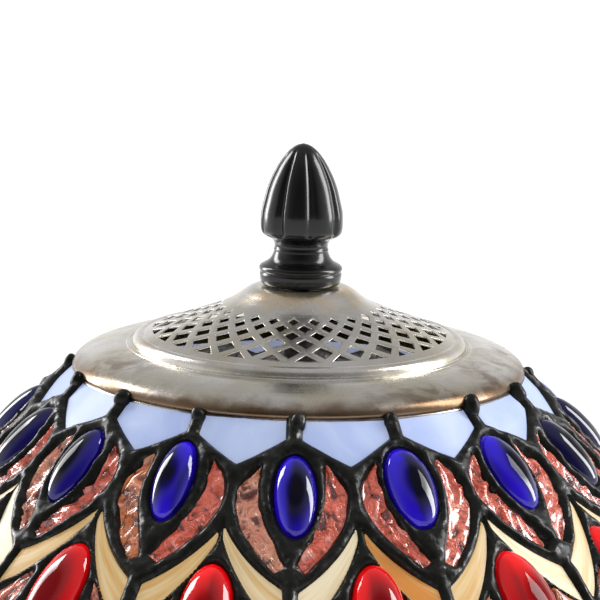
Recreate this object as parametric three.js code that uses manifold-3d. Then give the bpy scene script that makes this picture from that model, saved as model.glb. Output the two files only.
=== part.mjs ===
// A leaded mosaic glass table lamp, in millimetres, +Z up, standing on the plane z = 0.
// A weighted foot carries a turned column. A threaded rod ties them together and holds a
// two-light cluster. A riser goes up to the pierced vent dome of the shade, and the fluted
// finial screws down on it. Each piece is its own closed mesh.
import * as THREE from "three";
import { mergeVertices } from "three/addons/utils/BufferGeometryUtils.js";
import Module from "manifold-3d";

const wasm = await Module();
wasm.setup();

// ---- Driving dimensions -------------------------------------------------------------------
const GAP = 0.3; // clearance between pieces that rest on each other
const CAP_Z = 548; // plane of the cap's rim, above the table
const CAP_RADIUS = 75;
const SHADE_RADIUS = 200; // at the lower rim
const FOOT_RADIUS = 88;
const ROD_RADIUS = 5; // hollow threaded rod
const ROD_BORE = 5.6; // clearance hole for the rod
const REPEATS = 16; // pattern repeats round the shade
const REPEAT_ANGLE = (2 * Math.PI) / REPEATS;

// The shade's outer glass line: a cone below the cap, then an arc that turns nearly upright.
const SHADE = {
  topRadius: CAP_RADIUS - 0.5,
  topDrop: 3.3, // below the rim of the cap
  coneSlope: THREE.MathUtils.degToRad(41),
  coneLength: 66,
  rimSlope: THREE.MathUtils.degToRad(84),
  glass: 3, // thickness
  lead: 2, // height of the lead lines over the glass
};
const CONE_END = SHADE.topRadius + SHADE.coneLength * Math.cos(SHADE.coneSlope);
const ARC_RADIUS = (SHADE_RADIUS - CONE_END) / (Math.sin(SHADE.rimSlope) - Math.sin(SHADE.coneSlope));
const SHADE_LENGTH = SHADE.coneLength + ARC_RADIUS * (SHADE.rimSlope - SHADE.coneSlope);

// Rows of glass, as lengths down the meridian from the top edge.
const ROWS = {
  opal_glass_row: [0.5, 20],
  petal_glass_row: [20, 57],
  ruby_glass_row: [57, 108],
  cobalt_glass_row: [108, 176],
  border_glass_row: [176, SHADE_LENGTH - 1],
};

// Rings where the shells of the shade bend, so that all of them share the same facets.
const BEND_LENGTHS = [20, 57, 82, 108, 142, 176, 205];

// Cluster: two sockets that lean outwards.
const CLUSTER_Z = 352;
const CLUSTER_HEIGHT = 34;
const SOCKET_TILT = THREE.MathUtils.degToRad(30);
const SOCKET_FOOT = { x: 40, z: 384 }; // centre of the socket cap's underside
const SIDES = { left: -1, right: 1 };

// Heights of the pieces on the rod.
const PAD_TOP = 3;
const FOOT_TOP = 48;
const VASE_TOP = 150;
const COLUMN_TOP = 318;
const CAP_SHEET = 1.2; // thickness of the pierced dome
const SEAT_Z = CAP_Z + 23; // underside of the vent dome's crown

// ---- Finishes -----------------------------------------------------------------------------
const finish = (color, roughness, metalness, opacity = 1) =>
  new THREE.MeshStandardMaterial({ color, roughness, metalness, opacity, transparent: opacity < 1 });
const BLACK_ENAMEL = finish(0x0b0b0d, 0.2, 0.1);
const DARK_BRONZE = finish(0x2b241c, 0.38, 0.8);
const AGED_BRASS = finish(0x8a7d66, 0.34, 1);
const BRASS = finish(0xb5924c, 0.3, 1);
const LEAD = finish(0x1d1f1d, 0.42, 0.6);
const STEEL = finish(0x8d8f92, 0.4, 1);
const IRON = finish(0x37393b, 0.7, 0.7);
const FELT = finish(0x1c2a20, 0.95, 0);
const PHENOLIC = finish(0x2a1d18, 0.5, 0);
const NYLON = finish(0x121212, 0.5, 0);
const BULB_GLASS = finish(0xfffdf6, 0.25, 0, 0.6);
const OPAL_BLUE = finish(0xa9bdea, 0.3, 0);
const CORAL = finish(0xc2543f, 0.3, 0);
const COBALT = finish(0x1a10b8, 0.08, 0);
const RUBY = finish(0xc4060c, 0.1, 0);
const CARAMEL = finish(0xc79a4c, 0.3, 0);

// ---- Tools for making solids --------------------------------------------------------------
const lamp = new THREE.Group();

/** Adds one named piece to a group. */
function piece(name, geometry, material, parent = lamp) {
  const mesh = new THREE.Mesh(geometry, material);
  mesh.name = name;
  parent.add(mesh);
  return mesh;
}

/** A manifold-3d solid of a closed geometry. */
function solidOf(geometry) {
  const bare = geometry.clone();
  bare.deleteAttribute("normal");
  bare.deleteAttribute("uv");
  const merged = mergeVertices(bare, 1e-4);
  return new wasm.Manifold(
    new wasm.Mesh({
      numProp: 3,
      vertProperties: new Float32Array(merged.attributes.position.array),
      triVerts: new Uint32Array(merged.index.array),
    }),
  );
}

/** A three.js geometry of a manifold-3d solid. */
function geometryOf(solid) {
  const { vertProperties, triVerts } = solid.getMesh();
  const geometry = new THREE.BufferGeometry();
  geometry.setAttribute("position", new THREE.BufferAttribute(vertProperties, 3));
  geometry.setIndex(new THREE.BufferAttribute(triVerts, 1));
  return geometry;
}

/** Turns a closed profile of [radius, height] points about +Z, with its faces pointing out. */
function turned(profile, segments = 32) {
  const points = profile.map(([r, z]) => new THREE.Vector2(Math.max(r, 0), z));
  const area = points.reduce((sum, p, i) => {
    const q = points[(i + 1) % points.length];
    return sum + p.x * q.y - q.x * p.y;
  }, 0);
  if (area < 0) points.reverse();
  const onAxis = points[0].x === 0 && points.at(-1).x === 0;
  if (!onAxis) points.push(points[0].clone());
  return new THREE.LatheGeometry(points, segments).rotateX(Math.PI / 2);
}

/** A turned ring of rectangular section. */
const ring = (inner, outer, low, high, segments) =>
  turned([[inner, low], [outer, low], [outer, high], [inner, high]], segments);

/** A hexagon nut with a round hole. */
function hexNut(acrossFlats, hole, low, height) {
  const corner = acrossFlats / Math.sqrt(3);
  const outline = new THREE.Shape(
    Array.from({ length: 6 }, (_, i) => {
      const angle = (i * Math.PI) / 3;
      return new THREE.Vector2(corner * Math.cos(angle), corner * Math.sin(angle));
    }),
  );
  outline.holes.push(new THREE.Path().absarc(0, 0, hole, 0, 2 * Math.PI, true));
  const settings = { depth: height, bevelEnabled: false, curveSegments: 8 };
  return new THREE.ExtrudeGeometry(outline, settings).translate(0, 0, low);
}

/** A round tube along a curve, hollow where bore is given. */
function tube(curve, radius, bore, steps, sides = 12) {
  const section = new THREE.Shape().absarc(0, 0, radius, 0, 2 * Math.PI);
  if (bore) section.holes.push(new THREE.Path().absarc(0, 0, bore, 0, 2 * Math.PI, true));
  return new THREE.ExtrudeGeometry(section, { steps, extrudePath: curve, curveSegments: sides, bevelEnabled: false });
}

/** An arc of [radius, height] points about a centre, angles in degrees. */
function arc([r, z], radius, from, to, count) {
  return Array.from({ length: count + 1 }, (_, i) => {
    const angle = THREE.MathUtils.degToRad(from + ((to - from) * i) / count);
    return [r + radius * Math.cos(angle), z + radius * Math.sin(angle)];
  });
}

/** Moves a profile up by a height. */
const raised = (profile, height) => profile.map(([r, z]) => [r, z + height]);

// ---- The shade's surface ------------------------------------------------------------------

/** Radius, height and slope of the glass line at a length down the meridian. */
function meridian(length) {
  const { topRadius, topDrop, coneSlope, coneLength } = SHADE;
  const onCone = Math.min(length, coneLength);
  const radius = topRadius + onCone * Math.cos(coneSlope);
  const height = CAP_Z - topDrop - onCone * Math.sin(coneSlope);
  if (length <= coneLength) return { radius, height, slope: coneSlope };
  const slope = coneSlope + (length - coneLength) / ARC_RADIUS;
  return {
    radius: radius + ARC_RADIUS * (Math.sin(slope) - Math.sin(coneSlope)),
    height: height - ARC_RADIUS * (Math.cos(coneSlope) - Math.cos(slope)),
    slope,
  };
}

/** The meridian from one length to another, moved out along its normal. */
function meridianProfile(from, to, out) {
  const between = BEND_LENGTHS.filter((length) => length > from + 1 && length < to - 1);
  return [from, ...between, to].map((length) => {
    const { radius, height, slope } = meridian(length);
    return [radius + out * Math.sin(slope), height + out * Math.cos(slope)];
  });
}

/** A turned shell that follows the shade, between two offsets from the glass line. */
const shadeShell = (from, to, inside, outside, segments) =>
  turned([...meridianProfile(from, to, outside), ...meridianProfile(from, to, inside).reverse()], segments);

/** Places a group on the shade, +Z out of the glass and +Y up the meridian. */
function onShade(turns, length, out) {
  const { radius, height, slope } = meridian(length);
  const azimuth = turns * REPEAT_ANGLE - Math.PI / 2;
  const outward = new THREE.Vector3(Math.cos(azimuth), Math.sin(azimuth), 0);
  const up = new THREE.Vector3(0, 0, 1);
  const normal = outward.clone().multiplyScalar(Math.sin(slope)).addScaledVector(up, Math.cos(slope));
  const along = outward.clone().multiplyScalar(-Math.cos(slope)).addScaledVector(up, Math.sin(slope));
  const across = along.clone().cross(normal);
  const centre = outward.clone().multiplyScalar(radius).addScaledVector(up, height).addScaledVector(normal, out);
  return new THREE.Matrix4().makeBasis(across, along, normal).setPosition(centre);
}

/** Half the width of one pattern repeat at a length down the meridian. */
const halfPitch = (length) => (meridian(length).radius * REPEAT_ANGLE) / 2;

/** A cutter for one window of the lead lattice: outline points are [share of half a repeat, length]. */
function windowCutter(turns, outline) {
  const lengths = outline.map(([, length]) => length);
  const centre = (Math.min(...lengths) + Math.max(...lengths)) / 2;
  const shape = new THREE.Shape(
    outline.map(([share, length]) => new THREE.Vector2(share * halfPitch(length), centre - length)),
  );
  const depth = 30; // well through the lattice on both sides
  return new THREE.ExtrudeGeometry(shape, { depth, bevelEnabled: false })
    .translate(0, 0, -depth / 2)
    .applyMatrix4(onShade(turns, centre, 0));
}

/** The outline of a drop with a short flat top and a pointed bottom, widest at one length. */
const drop = (top, topWidth, widest, width, bottom) => [
  [0, bottom],
  [width, widest],
  [topWidth, top],
  [-topWidth, top],
  [-width, widest],
];

// ---- Foot and column ----------------------------------------------------------------------
function makeFoot() {
  piece("felt_pad", ring(22, FOOT_RADIUS - 5, 0, PAD_TOP, 32), FELT);
  const low = PAD_TOP + GAP;
  const edge = 5.5; // radius of the foot's round edge
  const outer = [
    ...arc([FOOT_RADIUS - edge, low + edge], edge, -90, 90, 4),
    [76, low + 12.5],
    [68, low + 16],
    [64, low + 25],
    [50, low + 31],
    [36, low + 35],
    [27, low + 41],
    [24, FOOT_TOP],
  ];
  const inner = [
    [ROD_BORE, FOOT_TOP],
    [ROD_BORE, FOOT_TOP - 8],
    [18, FOOT_TOP - 8],
    [36, low + 25],
    [58, low + 19],
    [64, low + 8],
    [74, low + 5],
    [76, low],
  ];
  const foot = solidOf(turned([...outer, ...inner], 32));
  const inlet = solidOf(new THREE.CylinderGeometry(4, 4, 40, 12).translate(0, FOOT_RADIUS - 9, low + edge));
  piece("base_foot", geometryOf(foot.subtract(inlet)), DARK_BRONZE);
  const bushing = new THREE.Shape().absarc(0, 0, 3.6, 0, 2 * Math.PI);
  bushing.holes.push(new THREE.Path().absarc(0, 0, 2.5, 0, 2 * Math.PI, true));
  piece(
    "cord_bushing",
    new THREE.ExtrudeGeometry(bushing, { depth: 14, bevelEnabled: false, curveSegments: 6 })
      .rotateX(-Math.PI / 2)
      .translate(0, FOOT_RADIUS - 15, low + edge),
    NYLON,
  );
  const hub = [
    [ROD_BORE, low + 8],
    [36, low + 8],
    [36, low + 19],
    [16, low + 34],
    [16, FOOT_TOP - 8 - GAP],
    [ROD_BORE, FOOT_TOP - 8 - GAP],
  ];
  piece("base_weight", turned(hub, 24), IRON);
  piece("rod_washer", ring(ROD_RADIUS + GAP, 12, low + 6, low + 8 - GAP, 16), STEEL);
  piece("rod_nut", hexNut(16, ROD_RADIUS + GAP, low + 0.5, 5.2), STEEL);
}

function makeColumn() {
  const vase = [
    [ROD_BORE, FOOT_TOP + GAP],
    [22, FOOT_TOP + GAP],
    [22, FOOT_TOP + 5],
    [15, FOOT_TOP + 10],
    [16, FOOT_TOP + 18],
    ...arc([10, FOOT_TOP + 44], 20, -50, 30, 4),
    [17, VASE_TOP - 22],
    [14, VASE_TOP - 8],
    [18, VASE_TOP - 4],
    [18, VASE_TOP],
    [ROD_BORE, VASE_TOP],
  ];
  piece("stem_vase", turned(vase, 24), DARK_BRONZE);
  const column = [
    [ROD_BORE, VASE_TOP + GAP],
    [15, VASE_TOP + GAP],
    [15, VASE_TOP + 6],
    [12.5, VASE_TOP + 10],
    [10, COLUMN_TOP - 10],
    [13, COLUMN_TOP - 5],
    [13, COLUMN_TOP],
    [ROD_BORE, COLUMN_TOP],
  ];
  piece("stem_column", turned(column, 20), DARK_BRONZE);
  const capital = [
    [ROD_BORE, COLUMN_TOP + GAP],
    [12, COLUMN_TOP + GAP],
    [14, COLUMN_TOP + 8],
    [24, CLUSTER_Z - 10],
    [26, CLUSTER_Z - 5],
    [26, CLUSTER_Z - GAP],
    [ROD_BORE, CLUSTER_Z - GAP],
  ];
  piece("stem_capital", turned(capital, 24), DARK_BRONZE);
  piece("threaded_rod", ring(3.4, ROD_RADIUS, PAD_TOP + 1, CLUSTER_Z + 12, 12), STEEL);
}

// ---- Cluster, sockets, bulbs and pull chains ----------------------------------------------
function makeClusterBody() {
  const body = [
    [ROD_RADIUS + GAP, CLUSTER_Z],
    [20, CLUSTER_Z],
    [21, CLUSTER_Z + 4],
    [21, CLUSTER_Z + 20],
    [12, CLUSTER_Z + 28],
    [9, CLUSTER_Z + CLUSTER_HEIGHT],
    [ROD_RADIUS + GAP, CLUSTER_Z + CLUSTER_HEIGHT],
  ];
  piece("cluster_body", turned(body, 20), AGED_BRASS);
}

/** The pieces of one light: side is -1 for the left one and 1 for the right one. */
function makeLight(name, side) {
  const tilt = side * SOCKET_TILT;
  const axis = new THREE.Vector3(Math.sin(tilt), 0, Math.cos(tilt));
  const foot = new THREE.Vector3(side * SOCKET_FOOT.x, 0, SOCKET_FOOT.z);
  const start = new THREE.Vector3(side * (21 + GAP), 0, CLUSTER_Z + 12);
  const end = foot.clone().addScaledVector(axis, -GAP);
  const bend = [start.clone().setX(start.x + side * 9), end.clone().addScaledVector(axis, -9)];
  const route = new THREE.CubicBezierCurve3(start, ...bend, end);
  piece("cluster_arm_" + name, tube(route, 5.5, 3.5, 5, 5), AGED_BRASS);

  const socket = new THREE.Group();
  socket.position.copy(foot);
  socket.rotation.y = tilt;
  lamp.add(socket);
  piece(
    "socket_cap_" + name,
    turned([[3.5, 0], [9, 0], [17, 6], [17.4, 15], [15.9, 15], [15.6, 7], [8.6, 1.6], [3.5, 1.6]], 16),
    BRASS,
    socket,
  );
  const shell = solidOf(ring(15.5, 16.7, 15 + GAP, 47, 20));
  const guide = solidOf(new THREE.CylinderGeometry(3, 2.4, 8, 8).translate(0, -19.7, 26));
  piece("socket_shell_" + name, geometryOf(shell.add(guide)), BRASS, socket);
  piece("socket_core_" + name, turned([[0, 7], [12, 7], [14.7, 10], [14.7, 23], [0, 23]], 16), PHENOLIC, socket);
  piece("screw_shell_" + name, ring(13.8, 14.7, 23 + GAP, 46, 20), BRASS, socket);
  piece(
    "bulb_cap_" + name,
    turned([[0, 24.5], [4, 24.5], [6, 27], [12.6, 29], [13.2, 31], [13.2, 49], [11, 51], [0, 51]], 16),
    STEEL,
    socket,
  );
  const wall = 1.2;
  const neck = [[11.5, 51 + GAP], [12.4, 60]];
  const globe = arc([0, 93], 24, -40, 75, 5);
  const inside = [...arc([0, 93], 24 - wall, -40, 75, 5), [0, 93 + 24 - wall]].reverse();
  piece(
    "bulb_glass_" + name,
    turned([...neck, ...globe, [0, 117], ...inside, [12.4 - wall, 60], [11.5 - wall, 51 + GAP]], 16),
    BULB_GLASS,
    socket,
  );

  const mouth = new THREE.Vector3(0, -21.7, 26).applyEuler(socket.rotation).add(foot);
  const chainTop = mouth.z - 3 - 2 * GAP;
  const chainLength = 78;
  piece(
    "pull_chain_" + name,
    new THREE.CylinderGeometry(1.2, 1.2, chainLength, 8)
      .rotateX(Math.PI / 2)
      .translate(mouth.x, mouth.y, chainTop - chainLength / 2),
    BRASS,
  );
  const knobTop = chainTop - chainLength - GAP;
  piece(
    "chain_knob_" + name,
    turned(raised([[0, 0], [2, 0], [2.6, -4], [4.6, -10], [4.2, -14], [0, -16]], knobTop), 12)
      .translate(mouth.x, mouth.y, 0),
    BRASS,
  );
}

// ---- Riser, seat and finial ---------------------------------------------------------------
function makeRiser() {
  piece("riser_tube", ring(3.4, ROD_RADIUS, CLUSTER_Z + 12 + GAP, SEAT_Z - 12, 12), STEEL);
  piece("seat_nut", hexNut(14, 3.4, SEAT_Z - 12 + GAP, 9), BRASS);
  piece("seat_washer", ring(3.4, 11, SEAT_Z - 3 + 2 * GAP, SEAT_Z - GAP, 16), STEEL);
  piece("finial_stud", turned([[0, SEAT_Z - 22], [3, SEAT_Z - 22], [3, SEAT_Z + 20], [0, SEAT_Z + 20]], 10), STEEL);
}

function makeFinial() {
  const flutes = 10;
  const low = SEAT_Z + CAP_SHEET + GAP;
  const neckZ = CAP_Z + 41;
  const tipZ = CAP_Z + 71.4;
  const acornRadius = 13.7;
  const base = [
    [3.4, low],
    [12.6, low],
    [13.8, low + 2],
    [13.8, low + 5],
    [12.4, low + 7],
    [9.6, low + 9.4],
    [9, low + 12],
    [9.6, neckZ - 1],
  ];
  // The acorn is an ogive: its radius falls as one minus a power of the height.
  const rings = 6;
  const acorn = Array.from({ length: rings }, (_, i) => {
    const share = i / rings;
    return [acornRadius * (1 - share ** 2.1) ** 0.72, neckZ + 3.4 + (tipZ - neckZ - 3.4) * share];
  });
  const profile = [...base, [12, neckZ + 0.6], ...acorn, [0, tipZ], [0, SEAT_Z + 22], [3.4, SEAT_Z + 22]];
  const geometry = turned(profile, flutes * 4);
  const position = geometry.attributes.position;
  const fluteDepth = 0.9;
  for (let i = 0; i < position.count; i++) {
    const [x, y, z] = [position.getX(i), position.getY(i), position.getZ(i)];
    const radius = Math.hypot(x, y);
    if (z < neckZ || radius < 4) continue;
    const wave = Math.abs(Math.cos((Math.atan2(y, x) * flutes) / 2));
    const scale = 1 - (fluteDepth * wave) / acornRadius;
    position.setXY(i, x * scale, y * scale);
  }
  piece("finial", geometry, BLACK_ENAMEL);
}

// ---- Cap ----------------------------------------------------------------------------------
function makeCap() {
  const dome = [[4, 24.2], [15.5, 24.2], [20.5, 20.4], [28, 16.4], [50, 9.4], [54, 8.6], [55, 7.6], [55, 5.6]];
  const underside = [[53.8, 5.6], [53.6, 7.2], [49.6, 8.1], [27.5, 15.1], [19.8, 19.2], [15, 23], [4, 23]];
  let domeBlank = solidOf(turned(raised([...dome, ...underside], CAP_Z), 24));
  // The piercing: staggered rows of diamonds, each row a fixed share larger than the one above.
  const around = 24;
  const rowGrowth = 1.2;
  const diamondShare = 0.7; // of the pitch that a diamond fills
  for (let row = 0; row < 3; row++) {
    const radius = 31 * rowGrowth ** row;
    const halfWidth = radius * (Math.PI / around) * diamondShare;
    const halfLength = radius * (rowGrowth - 1) * diamondShare;
    for (let i = 0; i < around; i++) {
      const angle = ((i + (row % 2) / 2) * 2 * Math.PI) / around;
      const diamond = new THREE.Shape([
        new THREE.Vector2(radius + halfLength, 0),
        new THREE.Vector2(radius, halfWidth),
        new THREE.Vector2(radius - halfLength, 0),
        new THREE.Vector2(radius, -halfWidth),
      ]);
      const punch = new THREE.ExtrudeGeometry(diamond, { depth: 20, bevelEnabled: false });
      domeBlank = domeBlank.subtract(solidOf(punch.rotateZ(angle).translate(0, 0, CAP_Z + 5)));
    }
  }
  piece("vent_dome", geometryOf(domeBlank), AGED_BRASS);

  const flange = [
    [50, 5.2],
    [60, 5],
    [67, 3.8],
    [74.3, 0.6],
    [75, -1.8],
    [73.4, -0.6],
    [66.6, 2.6],
    [60, 3.8],
    [50, 4],
  ];
  piece("cap_flange", turned(raised(flange, CAP_Z), 40), AGED_BRASS);
  piece("aperture_ring", ring(70.4, 71.6, CAP_Z - 6, CAP_Z - 1.9, 32), BRASS);
}

// ---- Shade --------------------------------------------------------------------------------
function makeShade() {
  const rowFinish = {
    opal_glass_row: OPAL_BLUE,
    petal_glass_row: CORAL,
    ruby_glass_row: RUBY,
    cobalt_glass_row: COBALT,
    border_glass_row: CARAMEL,
  };
  for (const [name, [from, to]] of Object.entries(ROWS)) {
    piece(name, shadeShell(from, to - GAP, -SHADE.glass, 0, 32), rowFinish[name]);
  }

  let lattice = solidOf(shadeShell(2, SHADE_LENGTH - 1.3, GAP, SHADE.lead + GAP, 32));
  const cells = [
    [0.5, [[-0.84, 4.5], [-0.84, 7.5], [0, 18.5], [0.84, 7.5], [0.84, 4.5]]],
    [0, drop(10, 0.2, 27, 0.8, 56)],
    [0.5, drop(40, 0.05, 76, 0.84, 108)],
    [0, drop(94, 0.05, 136, 0.86, 174)],
    [0.5, [[-0.88, 222], [-0.88, 192], [0, 158], [0.88, 192], [0.88, 222]]],
  ];
  for (const [offset, outline] of cells) {
    for (let i = 0; i < REPEATS; i++) {
      lattice = lattice.subtract(solidOf(windowCutter(i + offset, outline)));
    }
  }
  piece("lead_lattice", geometryOf(lattice), LEAD);

  // Oval domed jewels of the upper row, one to a repeat, standing in the lattice's windows.
  const jewel = { width: 13.4, length: 29.6, height: 4.5, centre: 26.5 };
  const cabochon = [[0, 0], [1, 0], [0.82, 0.65], [0.44, 0.93], [0, 1]];
  for (let i = 0; i < REPEATS; i++) {
    const dome = piece(
      "sapphire_jewel_" + String(i + 1).padStart(2, "0"),
      turned(cabochon, 12).scale(jewel.width / 2, jewel.length / 2, jewel.height),
      COBALT,
    );
    dome.applyMatrix4(onShade(i, jewel.centre, GAP + 0.2));
  }

  const edge = meridian(SHADE_LENGTH);
  const bead = 2.6; // radius of the bead that closes the lower edge
  piece("shade_rim", turned(arc([edge.radius - 1, edge.height - 1.6], bead, 0, 315, 7), 40), BRASS);
}

makeFoot();
makeColumn();
makeClusterBody();
for (const [name, side] of Object.entries(SIDES)) makeLight(name, side);
makeRiser();
makeCap();
makeShade();
makeFinial();

export default lamp;
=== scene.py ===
"""The looks of a leaded mosaic glass table lamp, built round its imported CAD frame.

Lengths are in millimetres until a mesh is made, and in metres in the scene.
+Z is up and -Y is the front. An azimuth a is the angle from the front towards +X,
so a point at radius r lies at (r sin a, -r cos a).
"""

import functools
import logging
import math
from dataclasses import dataclass
from enum import Enum
from typing import Any, Callable, Iterable, Sequence

import bmesh
import bpy
import numpy as np
from mathutils import Matrix, Vector


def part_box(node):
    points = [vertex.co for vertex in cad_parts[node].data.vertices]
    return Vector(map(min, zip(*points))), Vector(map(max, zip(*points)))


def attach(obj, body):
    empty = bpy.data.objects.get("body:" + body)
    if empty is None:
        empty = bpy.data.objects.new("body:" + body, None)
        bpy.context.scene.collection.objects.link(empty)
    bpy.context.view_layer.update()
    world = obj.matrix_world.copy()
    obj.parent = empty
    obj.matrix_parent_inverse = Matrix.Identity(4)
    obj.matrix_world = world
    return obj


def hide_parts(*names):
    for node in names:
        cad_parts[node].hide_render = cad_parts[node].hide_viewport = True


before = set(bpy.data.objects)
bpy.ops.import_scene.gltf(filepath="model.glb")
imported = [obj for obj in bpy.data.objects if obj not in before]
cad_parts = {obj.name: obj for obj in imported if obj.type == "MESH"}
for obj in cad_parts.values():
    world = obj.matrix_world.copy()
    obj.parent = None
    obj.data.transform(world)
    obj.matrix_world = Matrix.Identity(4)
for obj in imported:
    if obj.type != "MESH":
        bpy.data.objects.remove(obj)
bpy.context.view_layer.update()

LOG = logging.getLogger("lamp")
Array = np.ndarray
Point = tuple[float, float]
Line = tuple[Point, ...]
Color = tuple[float, float, float]
MM = 0.001
TURN = 2 * math.pi
GORES = 16
GORE = TURN / GORES


# ---- Measures taken from the frame ---------------------------------------------------------


def low(node: str) -> Array:
    """The lowest corner of a CAD node, in millimetres."""
    return np.array(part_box(node)[0]) / MM


def high(node: str) -> Array:
    """The highest corner of a CAD node, in millimetres."""
    return np.array(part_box(node)[1]) / MM


def levels(node: str) -> Point:
    """The lowest and highest z of a CAD node, in millimetres."""
    return float(low(node)[2]), float(high(node)[2])


CAP_RADIUS = float(high("cap_flange")[0])
CAP_Z = float(low("cap_flange")[2]) + 1.8  # the plane of the cap's rim, just above its lip
SHADE_RADIUS = float(high("border_glass_row")[0]) + 0.1


# ---- Surfaces as arrays --------------------------------------------------------------------


@dataclass
class Surface:
    """A mesh as arrays: points in millimetres, blocks of faces, and a vector for each point.

    The vector holds (across, along, tone): where the point lies on its own small piece, from
    -1 to 1 and from 0 to 1, and a number from 0 to 1 that differs from piece to piece. On a
    face that looks into the shade the tone is 2 lower, and the amber, coral and jewel finishes
    paint such a face dark as painted shade.
    """

    points: Array
    faces: list[Array]
    place: Array | None = None

    def moved(self, matrix: Matrix) -> "Surface":
        """This surface carried by a matrix whose shift is in millimetres."""
        m = np.array(matrix)
        return Surface(self.points @ m[:3, :3].T + m[:3, 3], self.faces, self.place)


def joined(parts: Iterable[Surface]) -> Surface:
    """Several surfaces as one.

    Args:
        parts: the surfaces.

    Returns:
        One surface that holds them all.
    """
    points, faces, places, offset = [], [], [], 0
    for part in parts:
        points.append(part.points)
        faces += [block + offset for block in part.faces]
        places.append(np.zeros_like(part.points) if part.place is None else part.place)
        offset += len(part.points)
    return Surface(np.concatenate(points), faces, np.concatenate(places))


def grid_faces(rows: int, columns: int, wrap_rows: bool = False, wrap_columns: bool = False) -> Array:
    """The four-sided faces of a grid of points, stored row by row.

    Args:
        rows: how many rows of points.
        columns: how many points in a row.
        wrap_rows: whether the last row joins the first.
        wrap_columns: whether the last point of a row joins its first.

    Returns:
        An array of faces, four point numbers each.
    """
    i, j = np.meshgrid(
        np.arange(rows if wrap_rows else rows - 1),
        np.arange(columns if wrap_columns else columns - 1),
        indexing="ij",
    )
    i2, j2 = (i + 1) % rows, (j + 1) % columns
    corners = [i * columns + j, i2 * columns + j, i2 * columns + j2, i * columns + j2]
    return np.stack(corners, -1).reshape(-1, 4)


def rounded(points: Sequence[Point], passes: int = 2, closed: bool = True) -> Array:
    """Cuts a line's corners.

    Each pass puts points a quarter and three quarters along each stretch.

    Args:
        points: the line.
        passes: how often.
        closed: whether its end joins its start.

    Returns:
        The finer line.
    """
    line = np.asarray(points, float)
    for _ in range(passes):
        after = np.roll(line, -1, axis=0) if closed else line[1:]
        before = line if closed else line[:-1]
        cut = np.stack([0.75 * before + 0.25 * after, 0.25 * before + 0.75 * after], 1).reshape(-1, 2)
        line = cut if closed else np.concatenate([line[:1], cut, line[-1:]])
    return line


Warp = Callable[[Array, Array, Array], tuple[Array, Array]]


def turned(profile: Array, steps: int = 96, warp: Warp | None = None, closed: bool = True) -> Surface:
    """A profile of (radius, height) carried round the axis.

    The point at (r, z) goes to (r sin a, -r cos a, z) for every azimuth a.

    Args:
        profile: the profile's points.
        steps: how many azimuths.
        warp: gives new radii and heights for (radius, height, azimuth), for flutes and lobes.
        closed: whether the profile's end joins its start. An open one ends on the axis.

    Returns:
        The surface, with a ring of points for each point of the profile.
    """
    path = np.asarray(profile, float)
    azimuth = np.arange(steps)[None, :] / steps * TURN
    r = np.repeat(path[:, :1], steps, 1)
    z = np.repeat(path[:, 1:], steps, 1)
    if warp is not None:
        r, z = warp(r, z, azimuth)
    points = np.stack([r * np.sin(azimuth), -r * np.cos(azimuth), z], -1).reshape(-1, 3)
    return Surface(points, [grid_faces(len(path), steps, closed, True)])


def tube(path: Array, radius: float | Array, sides: int = 12) -> Surface:
    """A round tube along a path of points, closed at both ends by a point.

    At each point of the path a circle stands square to the path's direction there.

    Args:
        path: the points.
        radius: one radius, or one for each point.
        sides: points in a circle.

    Returns:
        The tube.
    """
    line = np.asarray(path, float)
    direction = np.gradient(line, axis=0)
    direction /= np.linalg.norm(direction, axis=1, keepdims=True)
    helper = np.where(np.abs(direction[:, 1:2]) < 0.9, [[0.0, 1.0, 0.0]], [[1.0, 0.0, 0.0]])
    side = np.cross(direction, helper)
    side /= np.linalg.norm(side, axis=1, keepdims=True)
    third = np.cross(direction, side)
    angle = np.arange(sides) / sides * TURN
    r = np.broadcast_to(np.asarray(radius, float), (len(line),))[:, None, None]
    ring = np.cos(angle)[None, :, None] * side[:, None] + np.sin(angle)[None, :, None] * third[:, None]
    rings = line[:, None] + r * ring
    ends = [np.repeat(line[i][None, None], sides, 1) for i in (0, -1)]
    rings = np.concatenate([ends[0], rings, ends[1]], 0)
    return Surface(rings.reshape(-1, 3), [grid_faces(len(line) + 2, sides, False, True)])


def ball(centre: Sequence[float], radius: float, rings: int = 8, sides: int = 12) -> Surface:
    """A sphere as a half circle carried round the axis, for beads and solder drops.

    Args:
        centre: its centre.
        radius: its radius.
        rings: points from pole to pole.
        sides: points round it.

    Returns:
        The sphere.
    """
    angle = np.linspace(0, math.pi, rings)
    profile = np.stack([radius * np.sin(angle), radius * np.cos(angle)], 1)
    return turned(profile, sides, closed=False).moved(Matrix.Translation(Vector(centre)))


def lumps(points: Array, size: float, seed: int) -> Array:
    """Smooth noise from -1 to 1 at points in space.

    Random numbers stand on a cubic grid. Between them each axis blends by 3f^2 - 2f^3, where
    f is the share of the way to the next number.

    Args:
        points: where.
        size: the grid's spacing.
        seed: of the random numbers.

    Returns:
        The noise at each point.
    """
    count = 32
    table = np.random.default_rng(seed).random((count, count, count))
    cell = np.floor(points / size).astype(int)
    f = points / size - cell
    f = f * f * (3 - 2 * f)
    total = np.zeros(points.shape[:-1])
    for corner in np.ndindex(2, 2, 2):
        weight = np.prod(np.where(np.array(corner) == 1, f, 1 - f), axis=-1)
        index = (cell + corner) % count
        total += weight * table[index[..., 0], index[..., 1], index[..., 2]]
    return total * 2 - 1


# ---- Node trees as expressions -------------------------------------------------------------


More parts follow.
